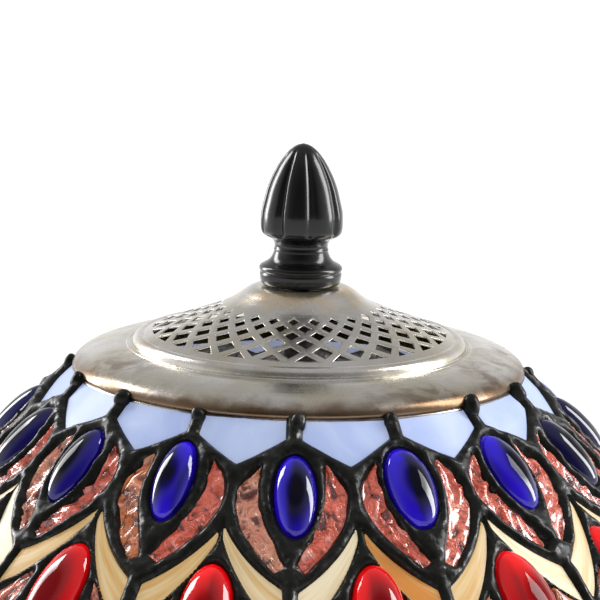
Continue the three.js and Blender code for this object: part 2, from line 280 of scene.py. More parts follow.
class Value:
    """A socket of a node tree that can be added, multiplied and so on."""

    def __init__(self, tree: "ShaderTree", socket: bpy.types.NodeSocket) -> None:
        """Holds an output socket and the tree that it is in."""
        self.tree = tree
        self.socket = socket

    def _math(self, operation: str, *values: "Value | float") -> "Value":
        """A Math node on these values."""
        return self.tree.node("ShaderNodeMath", {"operation": operation}, dict(enumerate(values)))

    def __add__(self, other: "Value | float") -> "Value":
        """Sum."""
        return self._math("ADD", self, other)

    __radd__ = __add__

    def __sub__(self, other: "Value | float") -> "Value":
        """Difference."""
        return self._math("SUBTRACT", self, other)

    def __rsub__(self, other: float) -> "Value":
        """Difference from a number."""
        return self._math("SUBTRACT", other, self)

    def __mul__(self, other: "Value | float") -> "Value":
        """Product."""
        return self._math("MULTIPLY", self, other)

    __rmul__ = __mul__

    def __pow__(self, power: float) -> "Value":
        """Power."""
        return self._math("POWER", self, power)

    def ramp(self, start: float, end: float, low_value: float = 0.0, high_value: float = 1.0) -> "Value":
        """Runs smoothly from one value to another while this one goes from start to end."""
        inputs = {"Value": self, "From Min": start, "From Max": end, "To Min": low_value, "To Max": high_value}
        return self.tree.node("ShaderNodeMapRange", {"interpolation_type": "SMOOTHSTEP"}, inputs)


class ShaderTree:
    """The nodes of one material, or of the world."""

    def __init__(self, owner: bpy.types.Material | bpy.types.World, shader: str = "Principled BSDF") -> None:
        """Opens the nodes of a material or a world.

        Args:
            owner: the material or the world.
            shader: the name of its main shader.
        """
        owner.use_nodes = True
        self.owner = owner
        self.nodes = owner.node_tree.nodes
        self.shader = self.nodes[shader]

    def node(self, kind: str, settings: dict[str, Any], inputs: dict[Any, Any], output: int | str = 0) -> Value:
        """Adds one node.

        Args:
            kind: the node's type.
            settings: its own settings, set before its sockets. "stops" are a ramp's stops.
            inputs: a value or a link for each socket, by name or number.
            output: the output socket that is wanted.

        Returns:
            The output, ready for more sums.
        """
        made = self.nodes.new(kind)
        for key, value in settings.items():
            if key == "stops":
                self._stops(made.color_ramp, value)
            else:
                setattr(made, key, value)
        for key, value in inputs.items():
            self.feed(made.inputs[key], value)
        return Value(self, made.outputs[output])

    @staticmethod
    def _stops(ramp: bpy.types.ColorRamp, stops: Sequence[tuple[float, Color]]) -> None:
        """Sets the stops of a colour ramp.

        Args:
            ramp: the ramp.
            stops: each stop's position and colour.
        """
        for extra in range(len(stops) - 2):
            ramp.elements.new(0.5)
        for element, (position, color) in zip(ramp.elements, stops):
            element.position = position
            element.color = (*color, 1)

    def feed(self, socket: bpy.types.NodeSocket, value: Any) -> None:
        """Links or sets one input socket.

        Args:
            socket: the socket.
            value: a value, a number or a colour.
        """
        if isinstance(value, Value):
            self.owner.node_tree.links.new(value.socket, socket)
        elif socket.type == "RGBA" and len(value) == 3:
            socket.default_value = (*value, 1)
        else:
            socket.default_value = value

    def finish(self, **sockets: Any) -> bpy.types.Material:
        """Sets the main shader's sockets, named with underscores for spaces.

        Args:
            sockets: a value for each.

        Returns:
            What the tree belongs to.
        """
        for name, value in sockets.items():
            self.feed(self.shader.inputs[name.replace("_", " ")], value)
        return self.owner

    def where(self) -> Value:
        """Object coordinates, in metres."""
        return self.node("ShaderNodeTexCoord", {}, {}, "Object")

    def parts(self, vector: Value) -> tuple[Value, Value, Value]:
        """The three numbers of a vector."""
        return tuple(self.node("ShaderNodeSeparateXYZ", {}, {0: vector}, i) for i in range(3))

    def place(self) -> tuple[Value, Value, Value, Value]:
        """The piece's own place attribute: across, along and tone, and 1 on faces inside the shade, for painted
        shade.
        """
        place = self.node("ShaderNodeAttribute", {"attribute_name": "place"}, {}, "Vector")
        across, along, mark = self.parts(place)
        inside = self.node("ShaderNodeMath", {"operation": "LESS_THAN"}, {0: mark, 1: -0.5})
        return across, along, mark + inside * 2, inside

    def noise(
        self, scale: float, detail: float = 3, stretch: Sequence[float] = (1, 1, 1), **more: Any
    ) -> Value:
        """Noise on object coordinates. scale is how many lumps there are in a metre."""
        spot = self.node("ShaderNodeMapping", {}, {"Vector": self.where(), "Scale": tuple(stretch)})
        return self.node("ShaderNodeTexNoise", {}, {"Vector": spot, "Scale": scale, "Detail": detail, **more})

    def mix(self, factor: Value | float, first: Any, second: Any) -> Value:
        """A mix of two colours."""
        settings = {"data_type": "RGBA"}
        return self.node("ShaderNodeMix", settings, {0: factor, 6: first, 7: second}, 2)

    def bump(self, height: Value, strength: float, distance: float) -> Value:
        """A normal from a height. distance is in metres."""
        return self.node("ShaderNodeBump", {}, {"Height": height, "Strength": strength, "Distance": distance})


# ---- Finishes ------------------------------------------------------------------------------

# The black that faces inside the shade are painted with: painted shade.
PAINTED_SHADE: Color = (0, 0, 0)
INNER_COAT_LOSS = 0.9  # how much of their coat the faces inside the shade lack


@dataclass(frozen=True)
class Finish:
    """A finish by name. Each kind gives its own sockets."""

    name: str

    def paint(self, tree: ShaderTree) -> bpy.types.Material:
        """Fills the tree and returns its material.

        Args:
            tree: the material\'s nodes.

        Returns:
            The material.
        """
        raise NotImplementedError

    @functools.cached_property
    def material(self) -> bpy.types.Material:
        """The material, made once."""
        return self.paint(ShaderTree(bpy.data.materials.new(self.name)))


@dataclass(frozen=True)
class Metal(Finish):
    """Turned or spun metal, with tarnish in large clouds and fine wear."""

    color: Color
    tarnish: Color
    roughness: float = 0.3
    cover: float = 0.5
    cloud: float = 60
    metallic: float = 1.0

    def paint(self, tree: ShaderTree) -> bpy.types.Material:
        """Clouds of tarnish change the colour and dull the shine, and fine grain breaks it up.

        Args:
            tree: the material\'s nodes.

        Returns:
            The material.
        """
        clouds = tree.noise(self.cloud, 4).ramp(0.62 - self.cover * 0.3, 0.75 - self.cover * 0.2)
        grain = tree.noise(900, 2)
        color = tree.mix(clouds, self.color, self.tarnish)
        shade = tree.mix(grain.ramp(0.35, 0.7, 0.0, 0.22), color, self.tarnish)
        rough = clouds * 0.16 + grain * 0.1 + (self.roughness - 0.05)
        return tree.finish(
            Base_Color=shade,
            Metallic=self.metallic,
            Roughness=rough,
            Normal=tree.bump(grain, 0.12, 0.0002),
        )


@dataclass(frozen=True)
class SpunBrass(Finish):
    """Spun brass with grey-green patina, brown stains, gold where rubbed, and lower edges painted dark brown as
    shade.
    """

    grey: Color
    olive: Color
    brown_stain_and_shade: Color
    gold: Color

    def paint(self, tree: ShaderTree) -> bpy.types.Material:
        """Rings of fine noise on the distance from the axis stand for the marks of spinning.

        Args:
            tree: the material\'s nodes.

        Returns:
            The material.
        """
        x, y, z = tree.parts(tree.where())
        reach = (x * x + y * y) ** 0.5
        spot = tree.node("ShaderNodeCombineXYZ", {}, {0: reach * 900, 1: z * 500, 2: (x + y) * 12})
        rings = tree.node("ShaderNodeTexNoise", {}, {"Vector": spot, "Scale": 1.0, "Detail": 3})
        clouds = tree.noise(42, 4)
        color = tree.mix(clouds.ramp(0.36, 0.64), self.grey, self.olive)
        mottle = tree.noise(130, 5, Distortion=0.5)
        # Painted shade: towards the lowest edge of the rolled rim the brass is painted dark brown, with a ragged
        # line.
        shaded_low_edge = (z + (mottle - 0.5) * (4 * MM)).ramp((CAP_Z + 2.4) * MM, (CAP_Z - 1.2) * MM)
        stains = tree.noise(30, 5, Distortion=0.8).ramp(0.48, 0.66) * mottle.ramp(0.4, 0.6)
        on_flange = reach.ramp(0.052, 0.066, 0.2, 0.75)
        # The same brown serves the real stains on the flange and the painted shade on the edge.
        color = tree.mix(shaded_low_edge * 0.95 + stains * on_flange, color, self.brown_stain_and_shade)
        near_top = reach.ramp(0.027, 0.014) * tree.noise(120, 5).ramp(0.45, 0.62)
        color = tree.mix(near_top * 0.7, color, self.gold)
        return tree.finish(
            Base_Color=color,
            Metallic=0.95,
            Roughness=rings * 0.12 + mottle * 0.3 + 0.04,
            Normal=tree.bump(rings * 0.6 + mottle * 2 + clouds * 2, 0.16, 0.0004),
        )


@dataclass(frozen=True)
class Solder(Finish):
    """Soldered lines with a dark patina, wet-looking and pocked."""

    color: Color

    def paint(self, tree: ShaderTree) -> bpy.types.Material:
        """Small drops and ripples stand in the bump, and worn spots show grey solder.

        Args:
            tree: the material\'s nodes.

        Returns:
            The material.
        """
        drops = tree.noise(380, 2)
        ripple = tree.noise(150, 2)
        worn = tree.noise(240, 4).ramp(0.66, 0.78)
        color = tree.mix(worn, self.color, (0.035, 0.036, 0.034))
        return tree.finish(
            Base_Color=color,
            Roughness=ripple.ramp(0.35, 0.7, 0.24, 0.42),
            Coat_Weight=drops.ramp(0.5, 0.72, 0.0, 0.55),
            Coat_Roughness=0.06,
            Specular_IOR_Level=0.17,
            Normal=tree.bump(drops + ripple * 1.8, 0.4, 0.0007),
        )


@dataclass(frozen=True)
class Opal(Finish):
    """Milky glass with wisps, and the tone of each pane its own."""

    color: Color
    wisp: Color

    def paint(self, tree: ShaderTree) -> bpy.types.Material:
        """Wisps are noise drawn out along one way.

        Args:
            tree: the material\'s nodes.

        Returns:
            The material.
        """
        tone = tree.place()[2]
        wisps = tree.noise(60, 5, (1, 1, 0.35), Distortion=1.4).ramp(0.4, 0.75)
        color = tree.mix(wisps * 0.45 + tone * 0.3, self.color, self.wisp)
        return tree.finish(
            Base_Color=color,
            Roughness=0.42,
            Specular_IOR_Level=0.3,
            Coat_Weight=0.06,
            Coat_Roughness=0.1,
            Normal=tree.bump(tree.noise(110, 2), 0.2, 0.0008),
        )


@dataclass(frozen=True)
class Streaked(Finish):
    """Caramel glass: streaks run along each pane, from cream to deep amber."""

    pale: Color
    middle: Color
    deep: Color

    def paint(self, tree: ShaderTree) -> bpy.types.Material:
        """The streaks follow the pane's own length, and each pane has its own share of amber.

        Args:
            tree: the material\'s nodes.

        Returns:
            The material.
        """
        across, along, tone, inside = tree.place()
        spot = tree.node("ShaderNodeCombineXYZ", {}, {0: across * 2.2, 1: along * 0.9, 2: tone * 40})
        drawn = {"Vector": spot, "Scale": 1.1, "Detail": 4, "Distortion": 0.8}
        streak = tree.node("ShaderNodeTexNoise", {}, drawn)
        stops = [(0.12, self.pale), (0.5, self.middle), (0.88, self.deep)]
        mixed = streak * 0.9 + tone * 0.75 - 0.35
        color = tree.node("ShaderNodeValToRGB", {"stops": stops}, {0: mixed})
        # Faces inside the shade are painted 80% of the way to black, as painted shade.
        return tree.finish(
            Base_Color=tree.mix(inside * 0.8, color, PAINTED_SHADE),
            Roughness=0.36,
            Specular_IOR_Level=0.3,
            Coat_Weight=0.1,
            Coat_Roughness=0.1,
            Normal=tree.bump(tree.noise(140, 2), 0.2, 0.0006),
        )


@dataclass(frozen=True)
class Rippled(Finish):
    """Coral glass with a deeply rippled face. Some panes are redder, some tan, some orange."""

    red: Color
    tan: Color
    orange: Color
    # pale is painted highlight on the ridges; fold_shade is painted shade in the folds.
    pale: Color
    fold_shade: Color

    def paint(self, tree: ShaderTree) -> bpy.types.Material:
        """Ridges catch the light; the colour is also paler on the ridges, a painted highlight, and darker in the
        folds, painted shade.

        Args:
            tree: the material\'s nodes.

        Returns:
            The material.
        """
        tone, inside = tree.place()[2:]
        ridge = tree.noise(170, 3, (1, 1, 0.6), Distortion=1.6)
        flecks = tree.noise(420, 2, (1, 1, 0.6), Distortion=0.8)
        patch = tree.noise(38, 2)
        shift = tone * 0.8 + patch * 0.5 - 0.25
        stops = [(0.3, self.red), (0.55, self.tan), (0.8, self.orange)]
        body = tree.node("ShaderNodeValToRGB", {"stops": stops}, {0: shift})
        # Painted shade: the folds of the same ridge noise that makes the bump are painted dark.
        body = tree.mix(ridge.ramp(0.34, 0.52), self.fold_shade, body)
        # Painted highlight: the ridges of that noise are painted paler.
        face = tree.mix(ridge.ramp(0.58, 0.72) * 0.5, body, self.pale)
        # Faces inside the shade are painted 85% of the way to black, as painted shade.
        return tree.finish(
            Base_Color=tree.mix(inside * 0.85, face, PAINTED_SHADE),
            Roughness=0.12,
            Coat_Weight=1 - inside * INNER_COAT_LOSS,
            Coat_IOR=1.7,
            Coat_Roughness=0.035,
            Normal=tree.bump(ridge * 1.5 + flecks * 0.5, 0.95, 0.002),
        )


@dataclass(frozen=True)
class Jewel(Finish):
    """A clear pressed jewel shaded as opaque: a painted dark middle, painted light towards its edge, and a faint
    glow of its own.
    """

    deep: Color
    body: Color
    painted_glow: Color

    def paint(self, tree: ShaderTree) -> bpy.types.Material:
        """The place attribute is (across, up, tone) on the jewel, from -1 to 1.

        Args:
            tree: the material\'s nodes.

        Returns:
            The material.
        """
        across, along, tone, inside = tree.place()
        up = along * 2 - 1
        reach = (across * across + up * up) ** 0.5
        # Painted light: a bright band, moved across by the tone, a bright rim and bright ends stand in for the
        # light that clear glass gathers.
        wander = tree.noise(60, 2) * 0.5 - 0.25
        offset = across + wander + (tone * 1.7 - 0.85)
        band = (offset * offset).ramp(0.22, 0.0)
        edge = reach.ramp(0.5, 0.92) * (1 - reach.ramp(0.93, 1.0) * 0.7)
        # A low tone takes most of the painted light away, so those jewels are painted dark.
        share = tone.ramp(0.02, 0.3, 0.12, 1.0)
        ends = (up * up).ramp(0.45, 0.95) * 0.35
        painted_light = (band * reach.ramp(0.1, 0.7) * 0.42 + edge * 0.25 + ends * 0.5) * share
        # The middle is painted darker than the edge: painted shade.
        body = tree.mix(reach.ramp(0.25, 1.0) * share, self.deep, self.body)
        # Faces inside the shade are painted black, as painted shade.
        color = tree.mix(inside, tree.mix(painted_light, body, self.painted_glow), PAINTED_SHADE)
        # The jewel gives off a faint light of its own by emission, though it is no lamp: a painted glow.
        return tree.finish(
            Base_Color=color,
            Roughness=0.05,
            Specular_IOR_Level=0.12,
            Coat_Weight=reach.ramp(0.3, 0.55, 0.08, 0.95) * (1 - inside * INNER_COAT_LOSS),
            Coat_Roughness=0.03,
            Emission_Color=color,
            Emission_Strength=0.15,
        )


@dataclass(frozen=True)
class Enamel(Finish):
    """Thick black gloss."""

    color: Color
    roughness: float = 0.2

    def paint(self, tree: ShaderTree) -> bpy.types.Material:
        """Faint orange peel and dust.

        Args:
            tree: the material\'s nodes.

        Returns:
            The material.
        """
        peel = tree.noise(700, 2)
        dust = tree.noise(1500, 3).ramp(0.66, 0.8)
        return tree.finish(
            Base_Color=tree.mix(dust * 0.3, self.color, (0.04, 0.04, 0.04)),
            Roughness=peel * 0.1 + (self.roughness - 0.03),
            Coat_Weight=0.3,
            Coat_Roughness=0.1,
            Specular_IOR_Level=0.3,
            Normal=tree.bump(peel, 0.05, 0.0002),
        )


@dataclass(frozen=True)
class Dull(Finish):
    """Plastic, felt or rough iron, by its grain."""

    color: Color
    other: Color
    roughness: float
    grain: float
    relief: float

    def paint(self, tree: ShaderTree) -> bpy.types.Material:
        """One noise sets the colour's mottle, the shine and the relief.

        Args:
            tree: the material\'s nodes.

        Returns:
            The material.
        """
        mottle = tree.noise(self.grain, 4)
        return tree.finish(
            Base_Color=tree.mix(mottle.ramp(0.3, 0.7), self.color, self.other),
            Roughness=mottle * 0.1 + (self.roughness - 0.05),
            Normal=tree.bump(mottle, 0.6, self.relief),
        )


@dataclass(frozen=True)
class Frosted(Finish):
    """The white inner coat of a lamp bulb."""

    color: Color

    def paint(self, tree: ShaderTree) -> bpy.types.Material:
        """Nearly even white, a little greyer in patches.

        Args:
            tree: the material\'s nodes.

        Returns:
            The material.
        """
        patch = tree.noise(40, 3).ramp(0.3, 0.8)
        return tree.finish(
            Base_Color=tree.mix(patch * 0.3, self.color, (0.8, 0.79, 0.75)),
            Roughness=tree.noise(300, 2) * 0.1 + 0.25,
            Coat_Weight=0.4,
        )


class Look(Enum):
    """Every finish of the lamp, with the name of the slot that it belongs to."""

    SOLDER = (Solder("patinated_solder", (0.005, 0.0052, 0.0042)), "lead_line")
    TIN = (Metal("bright_tin", (0.55, 0.53, 0.5), (0.1, 0.085, 0.07), 0.26, 0.8, 45), "lead_line")
    OPAL = (Opal("sky_opal", (0.28, 0.345, 0.56), (0.41, 0.475, 0.63)), "opal_blue_glass")
    CORAL = (
        Rippled("coral_ripple", (0.5, 0.08, 0.045), (0.5, 0.2, 0.12), (0.48, 0.13, 0.035), (0.75, 0.42, 0.34),
                (0.07, 0.008, 0.006)),
        "coral_glass",
    )
    AMBER = (Streaked("caramel_streak", (0.6, 0.52, 0.36), (0.5, 0.33, 0.13), (0.42, 0.16, 0.025)), "amber_glass")
    # A jewel's colours are its painted dark middle, its body, and its painted glow.
    COBALT = (
        Jewel("cobalt_jewel", (0.0002, 0.0, 0.004), (0.002, 0.0004, 0.055), (0.022, 0.003, 0.6)),
        "cobalt_glass",
    )
    RUBY = (Jewel("ruby_jewel", (0.1, 0.0, 0.001), (0.32, 0.0, 0.002), (0.85, 0.004, 0.004)), "ruby_glass")
    CAP = (
        SpunBrass("spun_brass", (0.66, 0.635, 0.6), (0.56, 0.51, 0.41), (0.17, 0.105, 0.06), (0.78, 0.57, 0.32)),
        "aged_brass",
    )
    # Brass painted nearly black for pieces inside the shade: a shaded copy of brass, as painted shade.
    SHADED_BRASS = (Metal("shaded_brass", (0.06, 0.045, 0.025), (0.02, 0.015, 0.01), 0.5, 0.6, 60), "brass")
    BRASS = (Metal("satin_brass", (0.62, 0.45, 0.2), (0.35, 0.22, 0.08), 0.24, 0.3, 70), "brass")
    OLD_STEEL = (Metal("dull_steel", (0.1, 0.1, 0.1), (0.03, 0.028, 0.025), 0.5, 0.6, 90), "steel")
    BRONZE = (Metal("dark_bronze", (0.07, 0.052, 0.036), (0.02, 0.015, 0.011), 0.3, 0.5, 50), "dark_bronze")
    STEEL = (Metal("plated_steel", (0.55, 0.55, 0.56), (0.3, 0.29, 0.27), 0.28, 0.2, 90), "steel")
    BLACK = (Enamel("black_gloss", (0.0025, 0.0025, 0.003)), "black_enamel")
    IRON = (Dull("cast_iron", (0.05, 0.05, 0.055), (0.11, 0.09, 0.08), 0.75, 350, 0.001), "iron")
    FELT = (Dull("green_felt", (0.02, 0.05, 0.03), (0.04, 0.085, 0.05), 0.95, 1200, 0.0008), "felt")
    PHENOLIC = (
        Dull("moulded_phenolic", (0.03, 0.017, 0.012), (0.06, 0.032, 0.02), 0.4, 500, 0.0002),
        "phenolic",
    )
    NYLON = (Dull("black_nylon", (0.012, 0.012, 0.012), (0.03, 0.03, 0.03), 0.5, 800, 0.0002), "nylon")
    BULB = (Frosted("frosted_bulb", (0.92, 0.91, 0.87)), "frosted_glass")

    @property
    def material(self) -> bpy.types.Material:
        """The look's material."""
        return self.value[0].material

    @property
    def slot(self) -> str:
        """The name of its slot."""
        return self.value[1]


# ---- Making pieces -------------------------------------------------------------------------


def linked(name: str, data: bpy.types.ID) -> bpy.types.Object:
    """A new object in the scene.

    Args:
        name: its name.
        data: its mesh, camera or light.

    Returns:
        The object.
    """
    made = bpy.data.objects.new(name, data)
    bpy.context.scene.collection.objects.link(made)
    return made


def make_piece(
    name: str,
    surface: Surface,
    look: Look,
    body: str,
    replaces: Sequence[str] = (),
    weld: bool = True,
    sharp: float = 40,
) -> bpy.types.Object:
    """Puts a surface into the scene as one piece of the lamp.

    Args:
        name: the piece's name.
        surface: its points and faces.
        look: its finish.
        body: the CAD body that it moves with.
        replaces: the CAD nodes that it stands for.
        weld: whether to merge its doubled points and turn its faces out.
        sharp: edges bent by more than this many degrees stay sharp.

    Returns:
        The new object, at the origin.
    """
    mesh = bpy.data.meshes.new(name)
    faces = [face for block in surface.faces for face in block.tolist()]
    mesh.from_pydata((surface.points * MM).tolist(), [], faces)
    if surface.place is not None:
        place = mesh.attributes.new("place", "FLOAT_VECTOR", "POINT")
        place.data.foreach_set("vector", surface.place.astype(np.float32).ravel())
    if weld:
        work = bmesh.new()
        work.from_mesh(mesh)
        bmesh.ops.remove_doubles(work, verts=work.verts, dist=1e-6)
        bmesh.ops.recalc_face_normals(work, faces=work.faces)
        work.to_mesh(mesh)
        work.free()
    mesh.polygons.foreach_set("use_smooth", [True] * len(mesh.polygons))
    mesh.set_sharp_from_angle(angle=math.radians(sharp))
    mesh.materials.append(look.material)
    piece = linked(name, mesh)
    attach(piece, body)
    look.slot
    if replaces:
        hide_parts(*replaces)
    LOG.info("%s: %d faces on %s", name, len(mesh.polygons), body)
    return piece


def dress_node(node: str, look: Look) -> None:
    """Gives a CAD node that stays in view its finish.

    Args:
        node: the node.
        look: its finish.
    """
    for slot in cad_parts[node].material_slots:
        slot.link = "OBJECT"
        slot.material = look.material


# ---- The shade -----------------------------------------------------------------------------


@dataclass(frozen=True)
class ShadeCurve:
    """The line of the glass, by its length down from the top edge: a cone, then an arc."""

    top_radius: float = CAP_RADIUS - 0.5
    top_z: float = CAP_Z - 3.3
    cone_slope: float = math.radians(44.5)
    cone_length: float = 66.0
    rim_slope: float = math.radians(77.8)

    @property
    def cone_end(self) -> float:
        """Radius where the cone ends."""
        return self.top_radius + self.cone_length * math.cos(self.cone_slope)

    @property
    def arc_radius(self) -> float:
        """Radius of the arc's bend."""
        return (SHADE_RADIUS - self.cone_end) / (math.sin(self.rim_slope) - math.sin(self.cone_slope))

    @property
    def length(self) -> float:
        """The whole length down to the lower rim."""
        return self.cone_length + self.arc_radius * (self.rim_slope - self.cone_slope)

    def slope(self, s: Array) -> Array:
        """Slope at a length."""
        return self.cone_slope + np.maximum(s - self.cone_length, 0) / self.arc_radius

    def radius(self, s: Array) -> Array:
        """Radius at a length."""
        cone = self.top_radius + np.minimum(s, self.cone_length) * math.cos(self.cone_slope)
        return cone + self.arc_radius * (np.sin(self.slope(s)) - math.sin(self.cone_slope))

    def half(self, s: Array) -> Array:
        """Half the width of a gore at a length."""
        return self.radius(s) * GORE / 2

    def points(self, azimuth: Array, s: Array, out: Array) -> Array:
        """Points in space: radius and height move out along the normal (sin slope, cos slope).

        Args:
            azimuth: where.
            s: lengths.
            out: how far out from the glass line.

        Returns:
            The points.
        """
        slope = self.slope(s)
        drop = np.minimum(s, self.cone_length) * math.sin(self.cone_slope)
        bend = self.arc_radius * (math.cos(self.cone_slope) - np.cos(slope))
        r = self.radius(s) + out * np.sin(slope)
        z = self.top_z - drop - bend + out * np.cos(slope)
        return np.stack([r * np.sin(azimuth), -r * np.cos(azimuth), z + 0 * azimuth], -1)


CURVE = ShadeCurve()
Face = Callable[[Array, Array, Array], Array]


@dataclass
class Pane:
    """One pane between a left and a right edge, given as (across, length) from its own centre line.

    azimuth is where the centre line stands. Across is measured in millimetres at each length.
    """

    azimuth: float
    left: Array
    right: Array
    look: Look
    tone: float

    def outline(self) -> Array:
        """The closed outline."""
        return np.concatenate([self.left, self.right[::-1]])

    def distance(self, across: Array, s: Array) -> Array:
        """How far points lie outside the outline, negative inside.

        The distance is the least one to any stretch of the outline. A point is inside if a line
        from it crosses the outline an odd number of times.

        Args:
            across: the points' places across.
            s: their lengths.

        Returns:
            The distances.
        """
        a = self.outline()
        b = np.roll(a, -1, axis=0)
        keep = np.linalg.norm(b - a, axis=1) > 1e-6
        a, b = a[keep], b[keep]
        p = np.stack([across, s], -1)[..., None, :]
        ab = b - a
        t = np.clip(((p - a) * ab).sum(-1) / (ab * ab).sum(-1), 0, 1)
        near = np.linalg.norm(p - (a + t[..., None] * ab), axis=-1).min(-1)
        spans = (a[:, 1] > p[..., 1]) != (b[:, 1] > p[..., 1])
        rise = np.where(np.abs(ab[:, 1]) > 1e-9, ab[:, 1], 1e-9)
        crossing = a[:, 0] + (p[..., 1] - a[:, 1]) * ab[:, 0] / rise
        inside = (spans & (p[..., 0] < crossing)).sum(-1) % 2 == 1
        return np.where(inside, -near, near)

    def slab(self, columns: int, top: Face, bottom: float, grow: float = 0.9) -> Surface:
        """A thin closed slab of glass, a little wider than the outline so that its edge is under the lead.

        A point at share v across lies (1-v)/2 of the way from the right edge to the left, and
        top(across, along, point) gives how far the face stands out there.

        Args:
            columns: points across.
            top: the height of the outer face.
            bottom: the height of the inner face.
            grow: how far the edges go out past the outline.

        Returns:
            The slab.
        """
        left, right = self.left.copy(), self.right.copy()
        side = right - left
        width = np.linalg.norm(side, axis=1, keepdims=True)
        unit = np.where(width > 1e-6, side / np.maximum(width, 1e-6), [[1.0, 0.0]])
        left, right = left - unit * grow, right + unit * grow
        middle = (self.left + self.right) / 2
        for end, nxt in ((0, 1), (-1, -2)):
            way = middle[end] - middle[nxt]
            way = way / max(float(np.linalg.norm(way)), 1e-6) * grow
            left[end] += way
            right[end] += way
        v = np.linspace(-1, 1, columns)[None, :]
        t = np.linspace(0, 1, len(left))[:, None]
        spot = left[:, None] * (1 - v[..., None]) / 2 + right[:, None] * (1 + v[..., None]) / 2
        azimuth = self.azimuth + spot[..., 0] / CURVE.radius(spot[..., 1])
        flat = CURVE.points(azimuth, spot[..., 1], 0 * azimuth)
        outer = CURVE.points(azimuth, spot[..., 1], top(v + 0 * t, t + 0 * v, flat))
        inner = CURVE.points(azimuth, spot[..., 1], bottom + 0 * azimuth)
        ring = np.concatenate([outer, inner[:, ::-1]], 1)
        rows, count = ring.shape[:2]
        index = np.arange(rows * count).reshape(rows, count)
        caps = []
        for end in (0, -1):
            line = index[end]
            j = np.arange(columns - 1)
            caps.append(np.stack([line[j], line[j + 1], line[count - 2 - j], line[count - 1 - j]], -1))
        place = np.stack([v + 0 * t, t + 0 * v, np.full((rows, columns), self.tone)], -1)
        # The inner face's tone is 2 lower, so the finishes paint it dark as shade.
        place = np.concatenate([place, place[:, ::-1] - [0, 0, 2]], 1)
        return Surface(ring.reshape(-1, 3), [grid_faces(rows, count, False, True), *caps], place.reshape(-1, 3))

    def dome(self, height: float, rings: int = 9, sides: int = 28, stand: float = 0.3) -> Surface:
        """A domed oval jewel that fills the outline.

        At share q of the way out from the middle the face stands height * (1 - q^2.4)^0.6 above
        its stand, and below its girdle the jewel goes straight down under the lead.

        Args:
            height: of the dome.
            rings: points from the middle to the edge.
            sides: points round it.
            stand: how high its edge stands.

        Returns:
            The jewel.
        """
        outline = np.concatenate([self.left, self.right[::-1][1:-1]])
        step = np.linspace(0, len(outline), sides, endpoint=False)
        whole = step.astype(int)
        share = (step - whole)[:, None]
        edge = outline[whole] * (1 - share) + outline[(whole + 1) % len(outline)] * share
        centre = edge.mean(0)
        q = np.sin(np.linspace(0, math.pi / 2, rings))
        out = stand + height * (1 - q**2.4) ** 0.6
        q = np.concatenate([q, [1.04, 1.04, 0]])
        out = np.concatenate([out, [stand - 0.6, -2.6, -2.6]])
        spot = centre + (edge - centre)[None] * q[:, None, None]
        azimuth = self.azimuth + spot[..., 0] / CURVE.radius(spot[..., 1])
        points = CURVE.points(azimuth, spot[..., 1], out[:, None] + 0 * azimuth)
        reach = np.abs(edge - centre).max(0)
        shares = (spot - centre) / reach
        place = np.stack([shares[..., 0], (1 - shares[..., 1]) / 2, np.full(azimuth.shape, self.tone)], -1)
        # The jewel's underside gets a tone 2 lower, so its finish paints it black as shade.
        place[-2:, :, 2] -= 2
        return Surface(points.reshape(-1, 3), [grid_faces(len(q), sides, False, True)], place.reshape(-1, 3))


def evened(line: Line | Array, count: int) -> Array:
    """A line with its corners rounded, as points at equal steps of its length.

    Args:
        line: the line.
        count: how many points.

    Returns:
        The points.
    """
    path = rounded(line, 2, closed=False)
    run = np.concatenate([[0], np.cumsum(np.linalg.norm(np.diff(path, axis=0), axis=1))])
    spots = np.linspace(0, run[-1], count)
    return np.stack([np.interp(spots, run, path[:, i]) for i in (0, 1)], 1)


@dataclass(frozen=True)
class Cell:
    """One row of tear-shaped cells: a jewel, two petals beside it and two bands below it.

    offset is 0 for cells on the gores' centre lines and 0.5 for cells between them. The lines
    are those of the right-hand side, as (across, length).
    """

    offset: float
    jewel_size: Point
    jewel_centre: float
    jewel_look: Look
    petal_outer: Line
    petal_inner: Line
    band_upper: Line | None = None
    band_lower: Line | None = None


